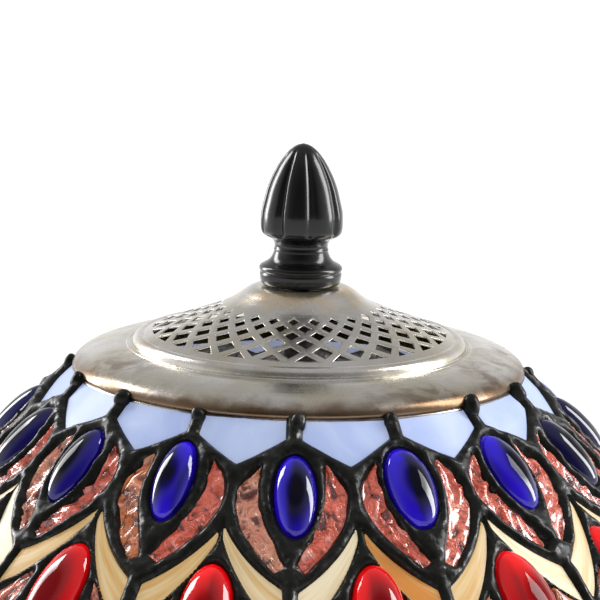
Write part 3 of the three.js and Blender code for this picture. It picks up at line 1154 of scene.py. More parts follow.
ROWS = (
    Cell(
        0.0, (6.4, 13.7), 26.2, Look.COBALT,
        petal_outer=((9.5, 15.9), (12.6, 18.8), (15.4, 23.0), (16.6, 27.8), (16.0, 33.1), (13.8, 38.9),
                     (10.4, 44.2), (7.0, 48.4), (4.6, 51.1)),
        petal_inner=((9.2, 16.2), (9.9, 22.0), (9.9, 27.8), (8.5, 34.0), (6.0, 39.8), (3.6, 45.0), (2.0, 49.4)),
        band_upper=((19.2, 37.0), (17.4, 41.0), (13.3, 47.3), (7.6, 53.2), (2.2, 57.4)),
        band_lower=((19.4, 41.7), (18.0, 46.5), (15.4, 52.8), (10.8, 60.9), (6.4, 66.4), (2.2, 70.4)),
    ),
    Cell(
        0.5, (8.2, 18.0), 67.5, Look.RUBY,
        petal_outer=((11.0, 61.3), (13.6, 64.3), (18.0, 68.9), (21.6, 73.5), (23.2, 78.5), (22.0, 84.7),
                     (18.4, 91.4), (13.2, 97.6), (7.4, 103.0)),
        petal_inner=((10.9, 61.8), (11.9, 67.5), (12.7, 73.7), (12.1, 79.9), (9.7, 86.6), (6.2, 93.3),
                     (3.0, 100.1)),
        band_upper=((27.4, 86.5), (24.2, 92.7), (18.0, 100.1), (10.2, 107.5), (2.8, 112.8)),
        band_lower=((27.6, 92.3), (25.2, 99.9), (20.6, 109.0), (13.4, 118.9), (7.6, 124.8), (2.8, 128.6)),
    ),
    Cell(
        0.0, (9.6, 20.8), 124.6, Look.COBALT,
        petal_outer=((12.6, 114.4), (16.0, 118.5), (21.6, 124.8), (26.6, 131.1), (28.6, 137.2), (27.0, 145.1),
                     (21.6, 153.6), (13.6, 162.1), (6.8, 167.8)),
        petal_inner=((12.4, 115.2), (13.8, 122.6), (14.8, 130.7), (13.9, 138.8), (11.0, 147.9), (7.0, 157.1),
                     (3.2, 164.8)),
    ),
)


# Tones that are set, not drawn at random: for each cell of the first row, counted from the front
# towards +X, those of the jewel, the two petals and the two bands, left before right.
# A jewel's tone sets how much painted light it shows and where its painted band lies; jewels towards the sides
# have tones near 0 and are painted dark.
SET_TONES = {
    0: (0.85, 0.68, 0.26, 0.34, 0.12), 1: (0.8, 0.3, 0.34, 0.97, 0.46), 2: (0.8, 0.3, 0.36, 0.2, 0.28),
    3: (0.03, 0.2, 0.3, 0.3, 0.5), 4: (0.0, 0.2, 0.3, 0.5, 0.2), 12: (0.0, 0.3, 0.2, 0.4, 0.3),
    13: (0.0, 0.6, 0.25, 0.3, 0.1), 14: (0.1, 0.6, 0.32, 0.06, 0.55), 15: (0.35, 0.95, 0.28, 0.48, 0.55),
}
# How the jewels nearest the front are set, by row and cell: moved across and down in millimetres,
# their size's factor across, and their lean in radians.
SETTINGS = {
    (1, 0): (0.9, 0.1, 1.0, -0.035), (1, 1): (-0.6, -1.5, 1.18, -0.06), (1, 2): (0.3, -1.6, 1.12, -0.03),
    (1, 15): (0.2, -1.9, 0.94, -0.05), (2, 0): (2.0, -0.4, 0.98, 0.0), (2, 1): (2.2, -0.6, 1.05, 0.0),
}


def edges(width: Array, s: Array, across: float = 0.0) -> tuple[Array, Array]:
    """The left and right edge of a pane: width to each side of a line at across."""
    return np.stack([across - width, s], 1), np.stack([across + width, s], 1)


class Pattern:
    """Every pane of the shade, each a little different, as hand-cut glass is."""

    def __init__(self, seed: int = 7) -> None:
        """Cuts every pane, gore by gore, then sets the tones of those nearest the front.

        Args:
            seed: of the random shifts, turns and tones.
        """
        self.random = np.random.default_rng(seed)
        self.panes: dict[str, list[Pane]] = {}
        for k in range(GORES):
            self._opal(k)
            for number, cell in enumerate(ROWS, 1):
                self._cell(k, number, cell)
            self._kite(k)
            self._border(k)
        for k, (jewel, *others) in SET_TONES.items():
            self.panes["jewels_row_1"][k].tone = jewel
            for i, tone in enumerate(others):
                self.panes[("petals_row_1", "bands_row_1")[i // 2]][2 * k + i % 2].tone = tone

    def _add(
        self,
        group: str,
        azimuth: float,
        left: Array,
        right: Array,
        look: Look,
        shift: float = 0.35,
        lean: float = 0,
    ) -> None:
        """Adds a pane, moved and turned a little.

        Args:
            group: the piece that it belongs to.
            azimuth: where its centre line stands.
            left: its left edge.
            right: its right edge.
            look: its glass.
            shift: how far it may be off its place, as a standard deviation in millimetres.
            lean: an angle that it is turned by besides.
        """
        both = np.stack([left, right])
        centre = both.reshape(-1, 2).mean(0)
        angle = self.random.normal(0, 0.018) + lean
        turn = np.array([[math.cos(angle), -math.sin(angle)], [math.sin(angle), math.cos(angle)]])
        both = (both - centre) @ turn.T + centre + self.random.normal(0, shift, 2)
        pane = Pane(azimuth, both[0], both[1], look, float(self.random.random()))
        self.panes.setdefault(group, []).append(pane)

    def _mirrored(
        self, group: str, azimuth: float, outer: Line, inner: Line, look: Look, count: int
    ) -> None:
        """Adds a pane and its mirror image about the cell's centre line.

        Args:
            group: the piece that they belong to.
            azimuth: where the centre line stands.
            outer: the edge farther from it, on the right-hand side.
            inner: the edge nearer to it.
            look: their glass.
            count: points along each edge.
        """
        far, near = evened(outer, count), evened(inner, count)
        for side in (-1, 1):
            flip = np.array([side, 1.0])
            left, right = (near * flip, far * flip) if side > 0 else (far * flip, near * flip)
            self._add(group, azimuth, left, right, look)

    def _opal(self, k: int) -> None:
        """The pane under the cap: straight sides beside the lines, then a point.

        Args:
            k: the gore.
        """
        tip, shoulder, line = 16.2, 7.1, 2.3
        s = np.concatenate([np.linspace(-0.6, shoulder, 7), np.linspace(shoulder, tip, 12)[1:]])
        share = np.clip((tip - s) / (tip - shoulder), 0, 1) ** 0.94
        width = np.where(s < shoulder, CURVE.half(s) - line, (CURVE.half(shoulder) - line) * share)
        self._add("opal_panes", (k + 0.5) * GORE, *edges(width, s), Look.OPAL, 0.12)

    def _cell(self, k: int, number: int, cell: Cell) -> None:
        """A jewel with its petals and bands.

        Args:
            k: the gore.
            number: the row.
            cell: its lines.
        """
        azimuth = (k + cell.offset) * GORE
        t = np.linspace(0, math.pi, 17)
        a, b = cell.jewel_size
        across, down, wider, lean = SETTINGS.get((number, k), (0.0, 0.0, 1.0, 0.0))
        x, s = a * wider * np.sin(t), cell.jewel_centre + down - b * np.cos(t)
        sides = edges(x, s, across)
        self._add(f"jewels_row_{number}", azimuth, *sides, cell.jewel_look, 0.2, lean)
        self._mirrored(f"petals_row_{number}", azimuth, cell.petal_outer, cell.petal_inner, Look.CORAL, 45)
        if cell.band_lower and cell.band_upper:
            self._mirrored(f"bands_row_{number}", azimuth, cell.band_lower, cell.band_upper, Look.AMBER, 17)

    def _kite(self, k: int) -> None:
        """The pane between two cells of the last row.

        Args:
            k: the gore.
        """
        start, length, line = 141.8, 32.5, 2.4
        s = np.linspace(start, start + length, 15)
        width = (CURVE.half(s) - line) * ((s - start) / length) ** 1.25
        self._add("kite_panes", (k + 0.5) * GORE, *edges(width, s), Look.OPAL, 0.2)

    def _border(self, k: int) -> None:
        """Two rows of bricks along the lower edge.

        Args:
            k: the gore.
        """
        for group, look, start, end in (
            ("border_coral_panes", Look.CORAL, 178.9, 198.2),
            ("border_amber_panes", Look.AMBER, 202.2, 226.6),
        ):
            s = np.linspace(start, end, 9)
            width = CURVE.half(s) / 2 - 2.0
            for quarter in (-0.25, 0.25):
                self._add(group, (k + quarter) * GORE, *edges(width, s), look, 0.2)

    def every(self) -> list[Pane]:
        """All the panes."""
        return [pane for group in self.panes.values() for pane in group]


def masked_shell(outer: Array, inner: Array, keep: Array) -> Surface:
    """A closed shell of two grids of points, open where keep is false.

    Rows run down and columns run right round. Where a kept face meets a missing one, or the top
    or bottom row ends, a wall joins the two grids.

    Args:
        outer: outer points, rows by columns by 3.
        inner: inner points, the same.
        keep: which faces are kept, rows - 1 by columns.

    Returns:
        The shell, without unused points.
    """
    rows, columns = outer.shape[:2]
    top = grid_faces(rows, columns, False, True)[keep.ravel()]
    total = rows * columns
    edges = np.stack([top, np.roll(top, -1, axis=1)], -1).reshape(-1, 2)
    key = edges[:, 0].astype(np.int64) * total + edges[:, 1]
    twin = edges[:, 1].astype(np.int64) * total + edges[:, 0]
    border = edges[~np.isin(key, twin)]
    walls = np.stack([border[:, 1], border[:, 0], border[:, 0] + total, border[:, 1] + total], -1)
    faces = np.concatenate([top, top[:, ::-1] + total, walls])
    used, renumbered = np.unique(faces, return_inverse=True)
    points = np.concatenate([outer.reshape(-1, 3), inner.reshape(-1, 3)])
    return Surface(points[used], [renumbered.reshape(faces.shape)])


@dataclass
class LeadWork:
    """The soldered lines: everything between the panes."""

    pattern: Pattern
    height: float = 1.6
    back_height: float = 0.9
    pane: float = 3.0  # the thickness of the glass
    softness: float = 0.8

    def field(self, azimuth: Array, s: Array) -> Array:
        """How far each point of a grid lies outside the nearest pane, in millimetres.

        Args:
            azimuth: of each column.
            s: the length at each row.

        Returns:
            Rows by columns of distances.
        """
        reach = 6.0
        far = np.full((len(s), len(azimuth)), reach)
        for pane in self.pattern.every():
            away = (azimuth - pane.azimuth + math.pi) % TURN - math.pi
            columns = np.flatnonzero(np.abs(away) < GORE * 0.75)
            outline = pane.outline()
            rows = np.flatnonzero((s > outline[:, 1].min() - reach) & (s < outline[:, 1].max() + reach))
            if not len(rows):
                continue
            across = away[columns][None, :] * CURVE.radius(s[rows])[:, None]
            found = pane.distance(across, np.repeat(s[rows][:, None], len(columns), 1))
            window = np.ix_(rows, columns)
            far[window] = np.minimum(far[window], found)
        return far

    def band(self, start: float, end: float, spacing: float, columns: int) -> Surface:
        """The lines between two lengths.

        Over the lead, the face stands height * (1 - e^(-d/softness)) above the glass, where d is
        the distance from the nearest pane, and lumps raise and lower it. Inside a pane it sinks,
        but not through the pane's inner face.

        Args:
            start: the length where they begin.
            end: the length where they end.
            spacing: from one row of points to the next.
            columns: points in a row.

        Returns:
            The lines, open over the panes.
        """
        s = np.linspace(start, end, int((end - start) / spacing) + 1)
        azimuth = np.arange(columns) / columns * TURN
        d = self.field(azimuth, s)
        deepest = 1.2  # how far into a pane the lead still sinks, so that it stays within the glass
        flat = CURVE.points(azimuth[None, :], s[:, None], 0.0 * d)
        uneven = 1 + 0.32 * lumps(flat, 6.0, 1) + 0.2 * lumps(flat, 2.4, 2)
        rise = 1 - np.exp(-np.maximum(d, 0) / self.softness)
        sink = np.clip(d, -deepest, 0)
        out = (self.height * rise + 0.12 * np.maximum(d, 0)) * uneven + sink * 2.0 + 0.12
        back = -self.pane - self.back_height * rise - sink * 0.4
        outer = CURVE.points(azimuth[None, :], s[:, None], out)
        inner = CURVE.points(azimuth[None, :], s[:, None], back)
        shifted = np.roll(d, -1, axis=1)
        nearest = np.maximum.reduce([d[:-1], d[1:], shifted[:-1], shifted[1:]])
        return masked_shell(outer, inner, nearest > -1.1)


class Shade:
    """The leaded glass shade, from the cap's edge to the lower rim."""

    body = "shade"

    def __init__(self) -> None:
        """Cuts the panes and plans the lines between them."""
        self.pattern = Pattern()
        self.lead = LeadWork(self.pattern)

    def build(self) -> None:
        """Makes the glass, the lines and the rim."""
        self.make_jewels()
        self.make_panes()
        self.make_lines()
        self.make_knobs()
        self.make_rim()

    def make_jewels(self) -> None:
        """The domed jewels of each row. Those of the first are pieces of their own."""
        for k, pane in enumerate(self.pattern.panes["jewels_row_1"]):
            node = f"sapphire_jewel_{k + 1:02d}"
            make_piece(f"cobalt_jewel_{k + 1:02d}", pane.dome(4.4), Look.COBALT, self.body, [node])
        for number, height, nodes in ((2, 4.6, ["ruby_glass_row"]), (3, 4.6, ["cobalt_glass_row"])):
            panes = self.pattern.panes[f"jewels_row_{number}"]
            look = panes[0].look
            surface = joined(pane.dome(height, 7, 24) for pane in panes)
            make_piece(f"jewels_row_{number}", surface, look, self.body, nodes)

    def make_panes(self) -> None:
        """The flat and rippled panes."""
        replaced = {
            "opal_panes": ["opal_glass_row"],
            "petals_row_1": ["petal_glass_row"],
            "border_amber_panes": ["border_glass_row"],
        }
        for group, panes in self.pattern.panes.items():
            if group.startswith("jewels"):
                continue
            look = panes[0].look
            top, columns = self.face_of(look)
            surface = joined(pane.slab(columns, top, -self.lead.pane) for pane in panes)
            make_piece(group, surface, look, self.body, replaced.get(group, ()), sharp=50)

    @staticmethod
    def face_of(look: Look) -> tuple[Face, int]:
        """The shape of a pane's outer face, and how many points it needs across.

        Args:
            look: the pane's glass.

        Returns:
            The shape as a function, and the number.
        """
        if look is Look.CORAL:

            def rippled(across: Array, along: Array, flat: Array) -> Array:
                """Slanting ridges, with smaller ones between, on a slightly crowned face."""
                drawn = np.stack([across * 0.8, along * 9 + across * 1.1, flat[..., 0] / 30], -1) + flat / 40
                ridges = 1.2 * (0.4 - 2 * np.abs(lumps(drawn, 1.0, 11))) + 0.3 * lumps(flat, 2.0, 12)
                return 0.25 * (1 - across**2) + ridges * np.clip(1.15 - np.abs(across), 0.15, 0.6) * 1.6

            return rippled, 13

        def smooth(across: Array, along: Array, flat: Array) -> Array:
            """A faint wave over the whole pane."""
            return 0.12 * (1 - across**2) + 0.12 * lumps(flat, 14.0, 13)

        return smooth, 5

    def make_lines(self) -> None:
        """The soldered lines in four bands, finest where the jewels are small."""
        length = CURVE.length
        bands = (("top", -0.6, 33.0, 0.62, GORES * 50), ("upper", 33.0, 72.0, 0.75, GORES * 54),
                 ("middle", 72.0, 150.0, 1.4, GORES * 46), ("lower", 150.0, length - 0.6, 1.7, GORES * 46))
        for name, start, end, spacing, columns in bands:
            replaces = ["lead_lattice"] if name == "top" else ()
            surface = self.lead.band(start, end, spacing, columns)
            make_piece(f"lead_lines_{name}", surface, Look.SOLDER, self.body, replaces, weld=False, sharp=70)

    def make_knobs(self) -> None:
        """A drop of solder where each line climbs over the cap's edge, none quite like the next."""
        random = np.random.default_rng(21)
        drops = []
        for k in range(GORES):
            size = random.uniform(1.8, 3.0)
            shift = random.normal(0, 0.006)
            centre = CURVE.points(np.array(k * GORE + shift), np.array(random.uniform(0.6, 1.8)), np.array(0.5))
            drop = ball((0, 0, 0), size, 14, 20)
            uneven = 1 + 0.22 * lumps(drop.points + centre, 2.6, 5)[:, None]
            drop.points = drop.points * uneven * [1, 1, random.uniform(1.15, 1.5)] + centre
            drops.append(drop)
        make_piece("solder_knobs", joined(drops), Look.SOLDER, self.body)

    def make_rim(self) -> None:
        """The bead along the lower edge, and the ring inside the top."""
        z = sum(levels("shade_rim")) / 2
        t = np.linspace(0, TURN, 16, endpoint=False)
        radius = 2.5
        r = high("shade_rim")[0] - 2.6
        bead = np.stack([r + radius * np.cos(t), z + radius * np.sin(t)], 1)
        make_piece("rim_bead", turned(bead, 240), Look.BRASS, self.body, ["shade_rim"])
        ring_low, ring_high = low("aperture_ring"), high("aperture_ring")
        outer = ring_high[0]
        foot = ring_low[2] - 2.6
        top = ring_high[2]
        ring = rounded([(outer - 3.4, foot), (outer - 2.4, foot), (outer, top - 2.6), (outer, top),
                        (outer - 1.2, top)], 2)
        # The ring inside the top takes the brass that is painted dark as shade.
        make_piece("top_ring", turned(ring, 128), Look.SHADED_BRASS, self.body, ["aperture_ring"])


# ---- The cap -------------------------------------------------------------------------------


@dataclass
class Cap:
    """The vent cap: a pierced dome on a flange with a rolled edge. Heights are above its rim plane."""

    columns: int = 26
    phase: float = -0.246
    rows: int = 5
    first_row: float = 27.2
    growth: float = 1.127
    sheet: float = 0.5
    first_share: float = 0.56  # how much of a diamond of the first row is hole
    share_growth: float = 0.022
    line: Line = (
        (4.0, 24.2), (13.0, 24.2), (15.6, 24.1), (17.6, 23.1), (19.6, 21.6), (22.2, 19.7), (25.2, 18.0),
        (30.0, 15.9), (35.0, 13.9), (40.3, 12.1), (45.2, 10.3), (49.3, 8.8), (53.2, 7.1),
    )

    body = "shade"

    def height(self, r: Array) -> Array:
        """Height of the dome's outer face at a radius, along the smoothed line."""
        line = rounded(self.line, 3, closed=False)
        return CAP_Z + np.interp(r, line[:, 0], line[:, 1])

    def point(self, r: Array, column: Array) -> Array:
        """A point of the dome at a radius and a column, which counts right round."""
        azimuth = (column + self.phase) / self.columns * TURN
        return np.stack([r * np.sin(azimuth), -r * np.cos(azimuth), self.height(r)], -1)

    def ring(self, j: int) -> float:
        """Radius of ring j of the lattice."""
        return self.first_row * self.growth**j

    def lattice(self) -> Surface:
        """The pierced sheet.

        Ring j has the radius first_row * growth^j. A diamond of row j has its sides' corners on
        ring j and its tips on the rings before and after. Its hole is the same diamond made
        smaller about its centre, so that a strip is left between two holes.
        """
        radius = self.ring
        parts = []
        for j in range(-1, self.rows + 1):
            column = np.arange(self.columns) + (j % 2) / 2
            r = radius(j)
            hole = self.first_share + self.share_growth * j
            left, right = (radius(j), -0.5), (radius(j), 0.5)
            upper, lower = (radius(j - 1), 0.0), (radius(j + 1), 0.0)
            if j == -1:
                parts.append(self._facets(column, [left, (r, 0.0), right, lower]))
            elif j == self.rows:
                corners = [left, upper, right, (r, 0.0)]
                apex = (r - (r - upper[0]) * (hole + 0.14), 0.0)
                base = r - 0.7
                ring = [(base, -0.46 * hole), apex, (base, 0.46 * hole), (base, 0.0)]
                parts.append(self._framed(column, corners, ring))
            else:
                corners = [left, upper, right, lower]
                ring = [(r + (c[0] - r) * hole, c[1] * hole) for c in corners]
                parts.append(self._framed(column, corners, ring))
        crown = np.concatenate([[4.0, 9.0, 12.5], np.linspace(14.5, radius(-1), 14)])
        parts.append(self._rings(crown))
        parts.append(self._rings(np.linspace(radius(self.rows), self.line[-1][0], 3)))
        return joined(parts)

    def _facets(self, column: Array, corners: Sequence[Point]) -> Surface:
        """One face at each column."""
        points = np.stack([self.point(np.full(len(column), r), column + c) for r, c in corners], 1)
        return Surface(points.reshape(-1, 3), [np.arange(points.shape[0] * 4).reshape(-1, 4)])

    def _framed(self, column: Array, corners: Sequence[Point], ring: Sequence[Point]) -> Surface:
        """Four faces between a diamond and its hole, at each column.

        Args:
            column: the columns.
            corners: the diamond's, as (radius, column).
            ring: the hole's.

        Returns:
            The faces.
        """
        count = len(column)
        points = np.stack([self.point(np.full(count, r), column + c) for r, c in [*corners, *ring]], 1)
        start = np.arange(count)[:, None, None] * 8
        i = np.arange(4)
        sides = np.stack([i, (i + 1) % 4, (i + 1) % 4 + 4, i + 4], 1)
        return Surface(points.reshape(-1, 3), [(start + sides[None]).reshape(-1, 4)])

    def _rings(self, radii: Array) -> Surface:
        """Plain bands of the sheet through the given radii.

        Args:
            radii: from the middle outwards.

        Returns:
            The bands.
        """
        steps = self.columns * 2
        column = np.arange(steps) / 2
        points = self.point(np.repeat(radii[:, None], steps, 1), np.repeat(column[None], len(radii), 0))
        return Surface(points.reshape(-1, 3), [grid_faces(len(radii), steps, False, True)])

    def build(self) -> None:
        """Makes the dome, the bead at its foot and the flange."""
        dome = make_piece("pierced_dome", self.lattice(), Look.CAP, self.body, ["vent_dome"], sharp=60)
        thick = dome.modifiers.new("sheet", "SOLIDIFY")
        thick.thickness = self.sheet * MM
        thick.offset = -1
        edge = dome.modifiers.new("edge", "BEVEL")
        edge.width = 0.12 * MM
        edge.segments = 2
        edge.limit_method = "ANGLE"
        edge.angle_limit = math.radians(50)
        t = np.linspace(0, TURN, 20, endpoint=False)
        bead = [(50.2, 7.2), (51.6, 7.9), (53.2, 7.9), (54.6, 7.0), (55.2, 5.8), (55.3, 4.9), (55.6, 4.5),
                (56.4, 5.1), (57.2, 5.0), (57.5, 4.2), (57.0, 3.4), (54.6, 2.8), (51.0, 4.4)]
        make_piece("dome_bead", turned(rounded(bead, 3) + [0, CAP_Z], 160), Look.CAP, self.body)
        flange = [(52.0, 4.6), (56.0, 4.7), (60.0, 4.6), (64.3, 3.8), (68.2, 2.8), (71.2, 1.7), (73.4, 0.3),
                  (74.6, -1.1), (75.0, -2.2), (74.7, -3.0), (73.9, -3.1), (73.5, -2.2), (72.3, -0.6), (69.5, 0.9),
                  (64.3, 2.5), (60.0, 3.3), (52.0, 3.6)]
        make_piece("cap_plate", turned(rounded(flange, 3) + [0, CAP_Z], 200), Look.CAP, self.body, ["cap_flange"])
        lip = [(72.6, -2.6), (74.3, -2.9), (74.9, -3.3), (75.0, -3.8), (74.6, -4.2), (73.4, -4.3), (72.6, -4.0)]
        make_piece("tinned_edge", turned(rounded(lip, 2) + [0, CAP_Z], 200), Look.TIN, self.body)


# ---- The finial ----------------------------------------------------------------------------


@dataclass
class Finial:
    """The acorn finial. Heights are above the cap's rim plane."""

    lobes: int = 8
    phase: float = math.radians(13.5)
    depth: float = 0.075
    width: float = 0.1
    body = "finial"

    def lobed(self, r: Array, z: Array, azimuth: Array) -> tuple[Array, Array]:
        """Broad lobes with narrow grooves between them.

        With a the angle from the nearest groove, the radius is cut by depth * e^(-(a/width)^2),
        and each lobe stands 2% proud in its middle. Both fade out at the acorn's ends.

        Args:
            r: radii of the turned line.
            z: its heights.
            azimuth: of each step round it.

        Returns:
            The lobed radii and the same heights.
        """
        level = z - CAP_Z
        fade = np.clip((level - 40.9) / 1.4, 0, 1) * np.clip((70.6 - level) / 4.0, 0, 1)
        lobe = TURN / self.lobes
        away = (azimuth - self.phase + lobe / 2) % lobe - lobe / 2
        cut = self.depth * np.exp(-((away / self.width) ** 2)) - 0.02 * np.abs(np.sin(away * self.lobes / 2))
        return r * (1 - (cut + 0.02) * fade), z

    def build(self) -> None:
        """Turns the base, the neck and the acorn as one."""
        acorn = [(11.2, 40.6), (12.9, 41.4), (13.5, 43.0), (13.6, 46.0), (13.5, 48.6), (13.1, 50.6), (12.5, 53.0),
                 (11.8, 55.8), (11.0, 58.2), (10.1, 60.4), (9.0, 62.6), (7.8, 64.8), (6.3, 67.0), (4.4, 69.2),
                 (2.2, 70.8), (0.0, 71.3)]
        base = [(3.3, 24.6), (12.2, 24.6), (13.0, 25.2), (13.3, 26.2), (13.6, 28.4), (13.3, 28.9), (13.3, 29.2),
                (13.7, 29.7), (13.75, 30.3), (13.4, 31.0), (12.2, 31.7), (10.9, 32.4), (9.8, 33.6), (9.1, 35.2),
                (8.9, 36.0), (9.1, 36.4), (8.8, 36.9), (8.7, 37.6), (9.0, 38.8), (9.9, 40.0)]
        line = rounded([(3.3, 40.0), *base, *acorn], 2, closed=False)
        line = np.concatenate([[(0.0, 43.3), (3.3, 43.3)], line]) + [0, CAP_Z]
        surface = turned(line, self.lobes * 32, self.lobed, closed=False)
        make_piece("acorn_finial", surface, Look.BLACK, self.body, ["finial"], sharp=48)


# ---- Foot and stem -------------------------------------------------------------------------


@dataclass
class Stand:
    """The foot, the turned stem and the pieces on its rod."""

    body = "stand"
    gadroons: int = 28
    flutes: int = 12

    def _gadroon(self, start: float, end: float, count: int, depth: float) -> Warp:
        """Swelling lobes between two heights: the radius grows by depth * |sin(count a / 2)|.

        Args:
            start: the lower height.
            end: the upper one.
            count: how many lobes.
            depth: of a lobe.

        Returns:
            The warp for turned.
        """

        def warp(r: Array, z: Array, azimuth: Array) -> tuple[Array, Array]:
            """Fades the lobes in and out over the ends of their height."""
            share = np.clip((z - start) / (end - start), 0, 1)
            fade = np.sin(math.pi * share)
            return r + depth * fade * (np.abs(np.sin(count * azimuth / 2)) - 0.6), z

        return warp

    def _flute(self, start: float, end: float) -> Warp:
        """Hollows between two heights: the radius shrinks by a raised cosine.

        Args:
            start: the lower height.
            end: the upper one.

        Returns:
            The warp for turned.
        """

        def warp(r: Array, z: Array, azimuth: Array) -> tuple[Array, Array]:
            """Cuts the flutes, with round ends."""
            fade = np.clip((z - start) / 5, 0, 1) * np.clip((end - z) / 5, 0, 1)
            cut = np.maximum(np.cos(self.flutes * azimuth), -0.2) + 0.2
            return r - 0.9 * np.sqrt(fade) * cut, z

        return warp

    def build(self) -> None:
        """Makes every turned piece and dresses the plain ones."""
        self.make_foot()
        self.make_stem()
        for node, look in {
            "felt_pad": Look.FELT, "base_weight": Look.IRON, "rod_washer": Look.STEEL, "rod_nut": Look.STEEL,
            "threaded_rod": Look.STEEL, "riser_tube": Look.OLD_STEEL, "seat_washer": Look.OLD_STEEL,
            "finial_stud": Look.OLD_STEEL, "seat_nut": Look.SHADED_BRASS, "cord_bushing": Look.NYLON,
        }.items():
            dress_node(node, look)

    def make_foot(self) -> None:
        """The foot: a round edge, a hollow, and a shoulder of swelling lobes."""
        base, top = levels("base_foot")
        radius = float(high("base_foot")[0])
        edge = 5.4
        t = np.radians(np.linspace(-90, 90, 13))
        roll = np.stack([radius - edge + edge * np.cos(t), base + edge + edge * np.sin(t)], 1)
        upper = [(77.5, base + 12.0), (73.0, base + 13.2), (70.0, base + 15.5), (69.0, base + 18.0),
                 (66.0, base + 23.0), (58.0, base + 28.5), (48.0, base + 31.8), (38.0, base + 34.5),
                 (30.0, base + 39.0), (26.0, base + 41.5), (24.5, top - 0.6), (23.0, top)]
        inside = [(6.0, top), (6.0, top - 8), (18.0, top - 8), (36.0, base + 26), (57.0, base + 20.5),
                  (64.0, base + 9), (74.0, base + 5.5), (76.0, base)]
        profile = np.concatenate([roll, rounded(upper, 2, closed=False), inside])
        warp = self._gadroon(base + 16, base + 36, self.gadroons, 1.6)
        make_piece("turned_foot", turned(profile, self.gadroons * 8, warp), Look.BRONZE, self.body, ["base_foot"])

    def make_stem(self) -> None:
        """The vase, the fluted column and the capital."""
        z0, z1 = levels("stem_vase")
        vase = [(22.0, z0), (22.0, z0 + 3), (20.0, z0 + 5), (15.5, z0 + 8), (14.6, z0 + 12), (17.5, z0 + 17),
                (25.0, z0 + 27), (29.4, z0 + 38), (29.0, z0 + 50), (24.5, z0 + 62), (18.5, z0 + 74),
                (14.5, z0 + 84), (13.6, z0 + 91), (15.5, z0 + 95), (18.0, z0 + 97), (18.0, z1)]
        self._stem_piece("stem_vase", vase, self._gadroon(z0 + 14, z0 + 74, self.flutes, 1.5))
        z0, z1 = levels("stem_column")
        column = [(15.0, z0), (15.0, z0 + 4), (13.2, z0 + 7), (12.2, z0 + 11), (12.0, z0 + 14), (11.2, z0 + 80),
                  (10.2, z1 - 14), (10.4, z1 - 10), (12.4, z1 - 7), (13.0, z1 - 4), (13.0, z1)]
        self._stem_piece("stem_column", column, self._flute(z0 + 14, z1 - 14))
        z0, z1 = levels("stem_capital")
        capital = [(11.8, z0), (12.6, z0 + 3), (14.0, z0 + 7), (19.0, z0 + 14), (24.0, z0 + 21), (25.8, z0 + 25),
                   (26.0, z1 - 4), (25.6, z1)]
        self._stem_piece("stem_capital", capital, self._gadroon(z0 + 6, z0 + 24, self.flutes, 1.2))

    def _stem_piece(self, node: str, outside: Sequence[Point], warp: Warp) -> None:
        """One turned piece with its bore.

        Args:
            node: the CAD node that it stands for.
            outside: its outer line.
            warp: its flutes or lobes.
        """
        line = rounded(outside, 3, closed=False)
        bore = 5.6
        profile = np.concatenate([line, [(bore, outside[-1][1]), (bore, outside[0][1])]])
        name = node.replace("stem_", "turned_")
        make_piece(name, turned(profile, self.flutes * 16, warp), Look.BRONZE, self.body, [node], sharp=45)


# ---- Lights inside -------------------------------------------------------------------------


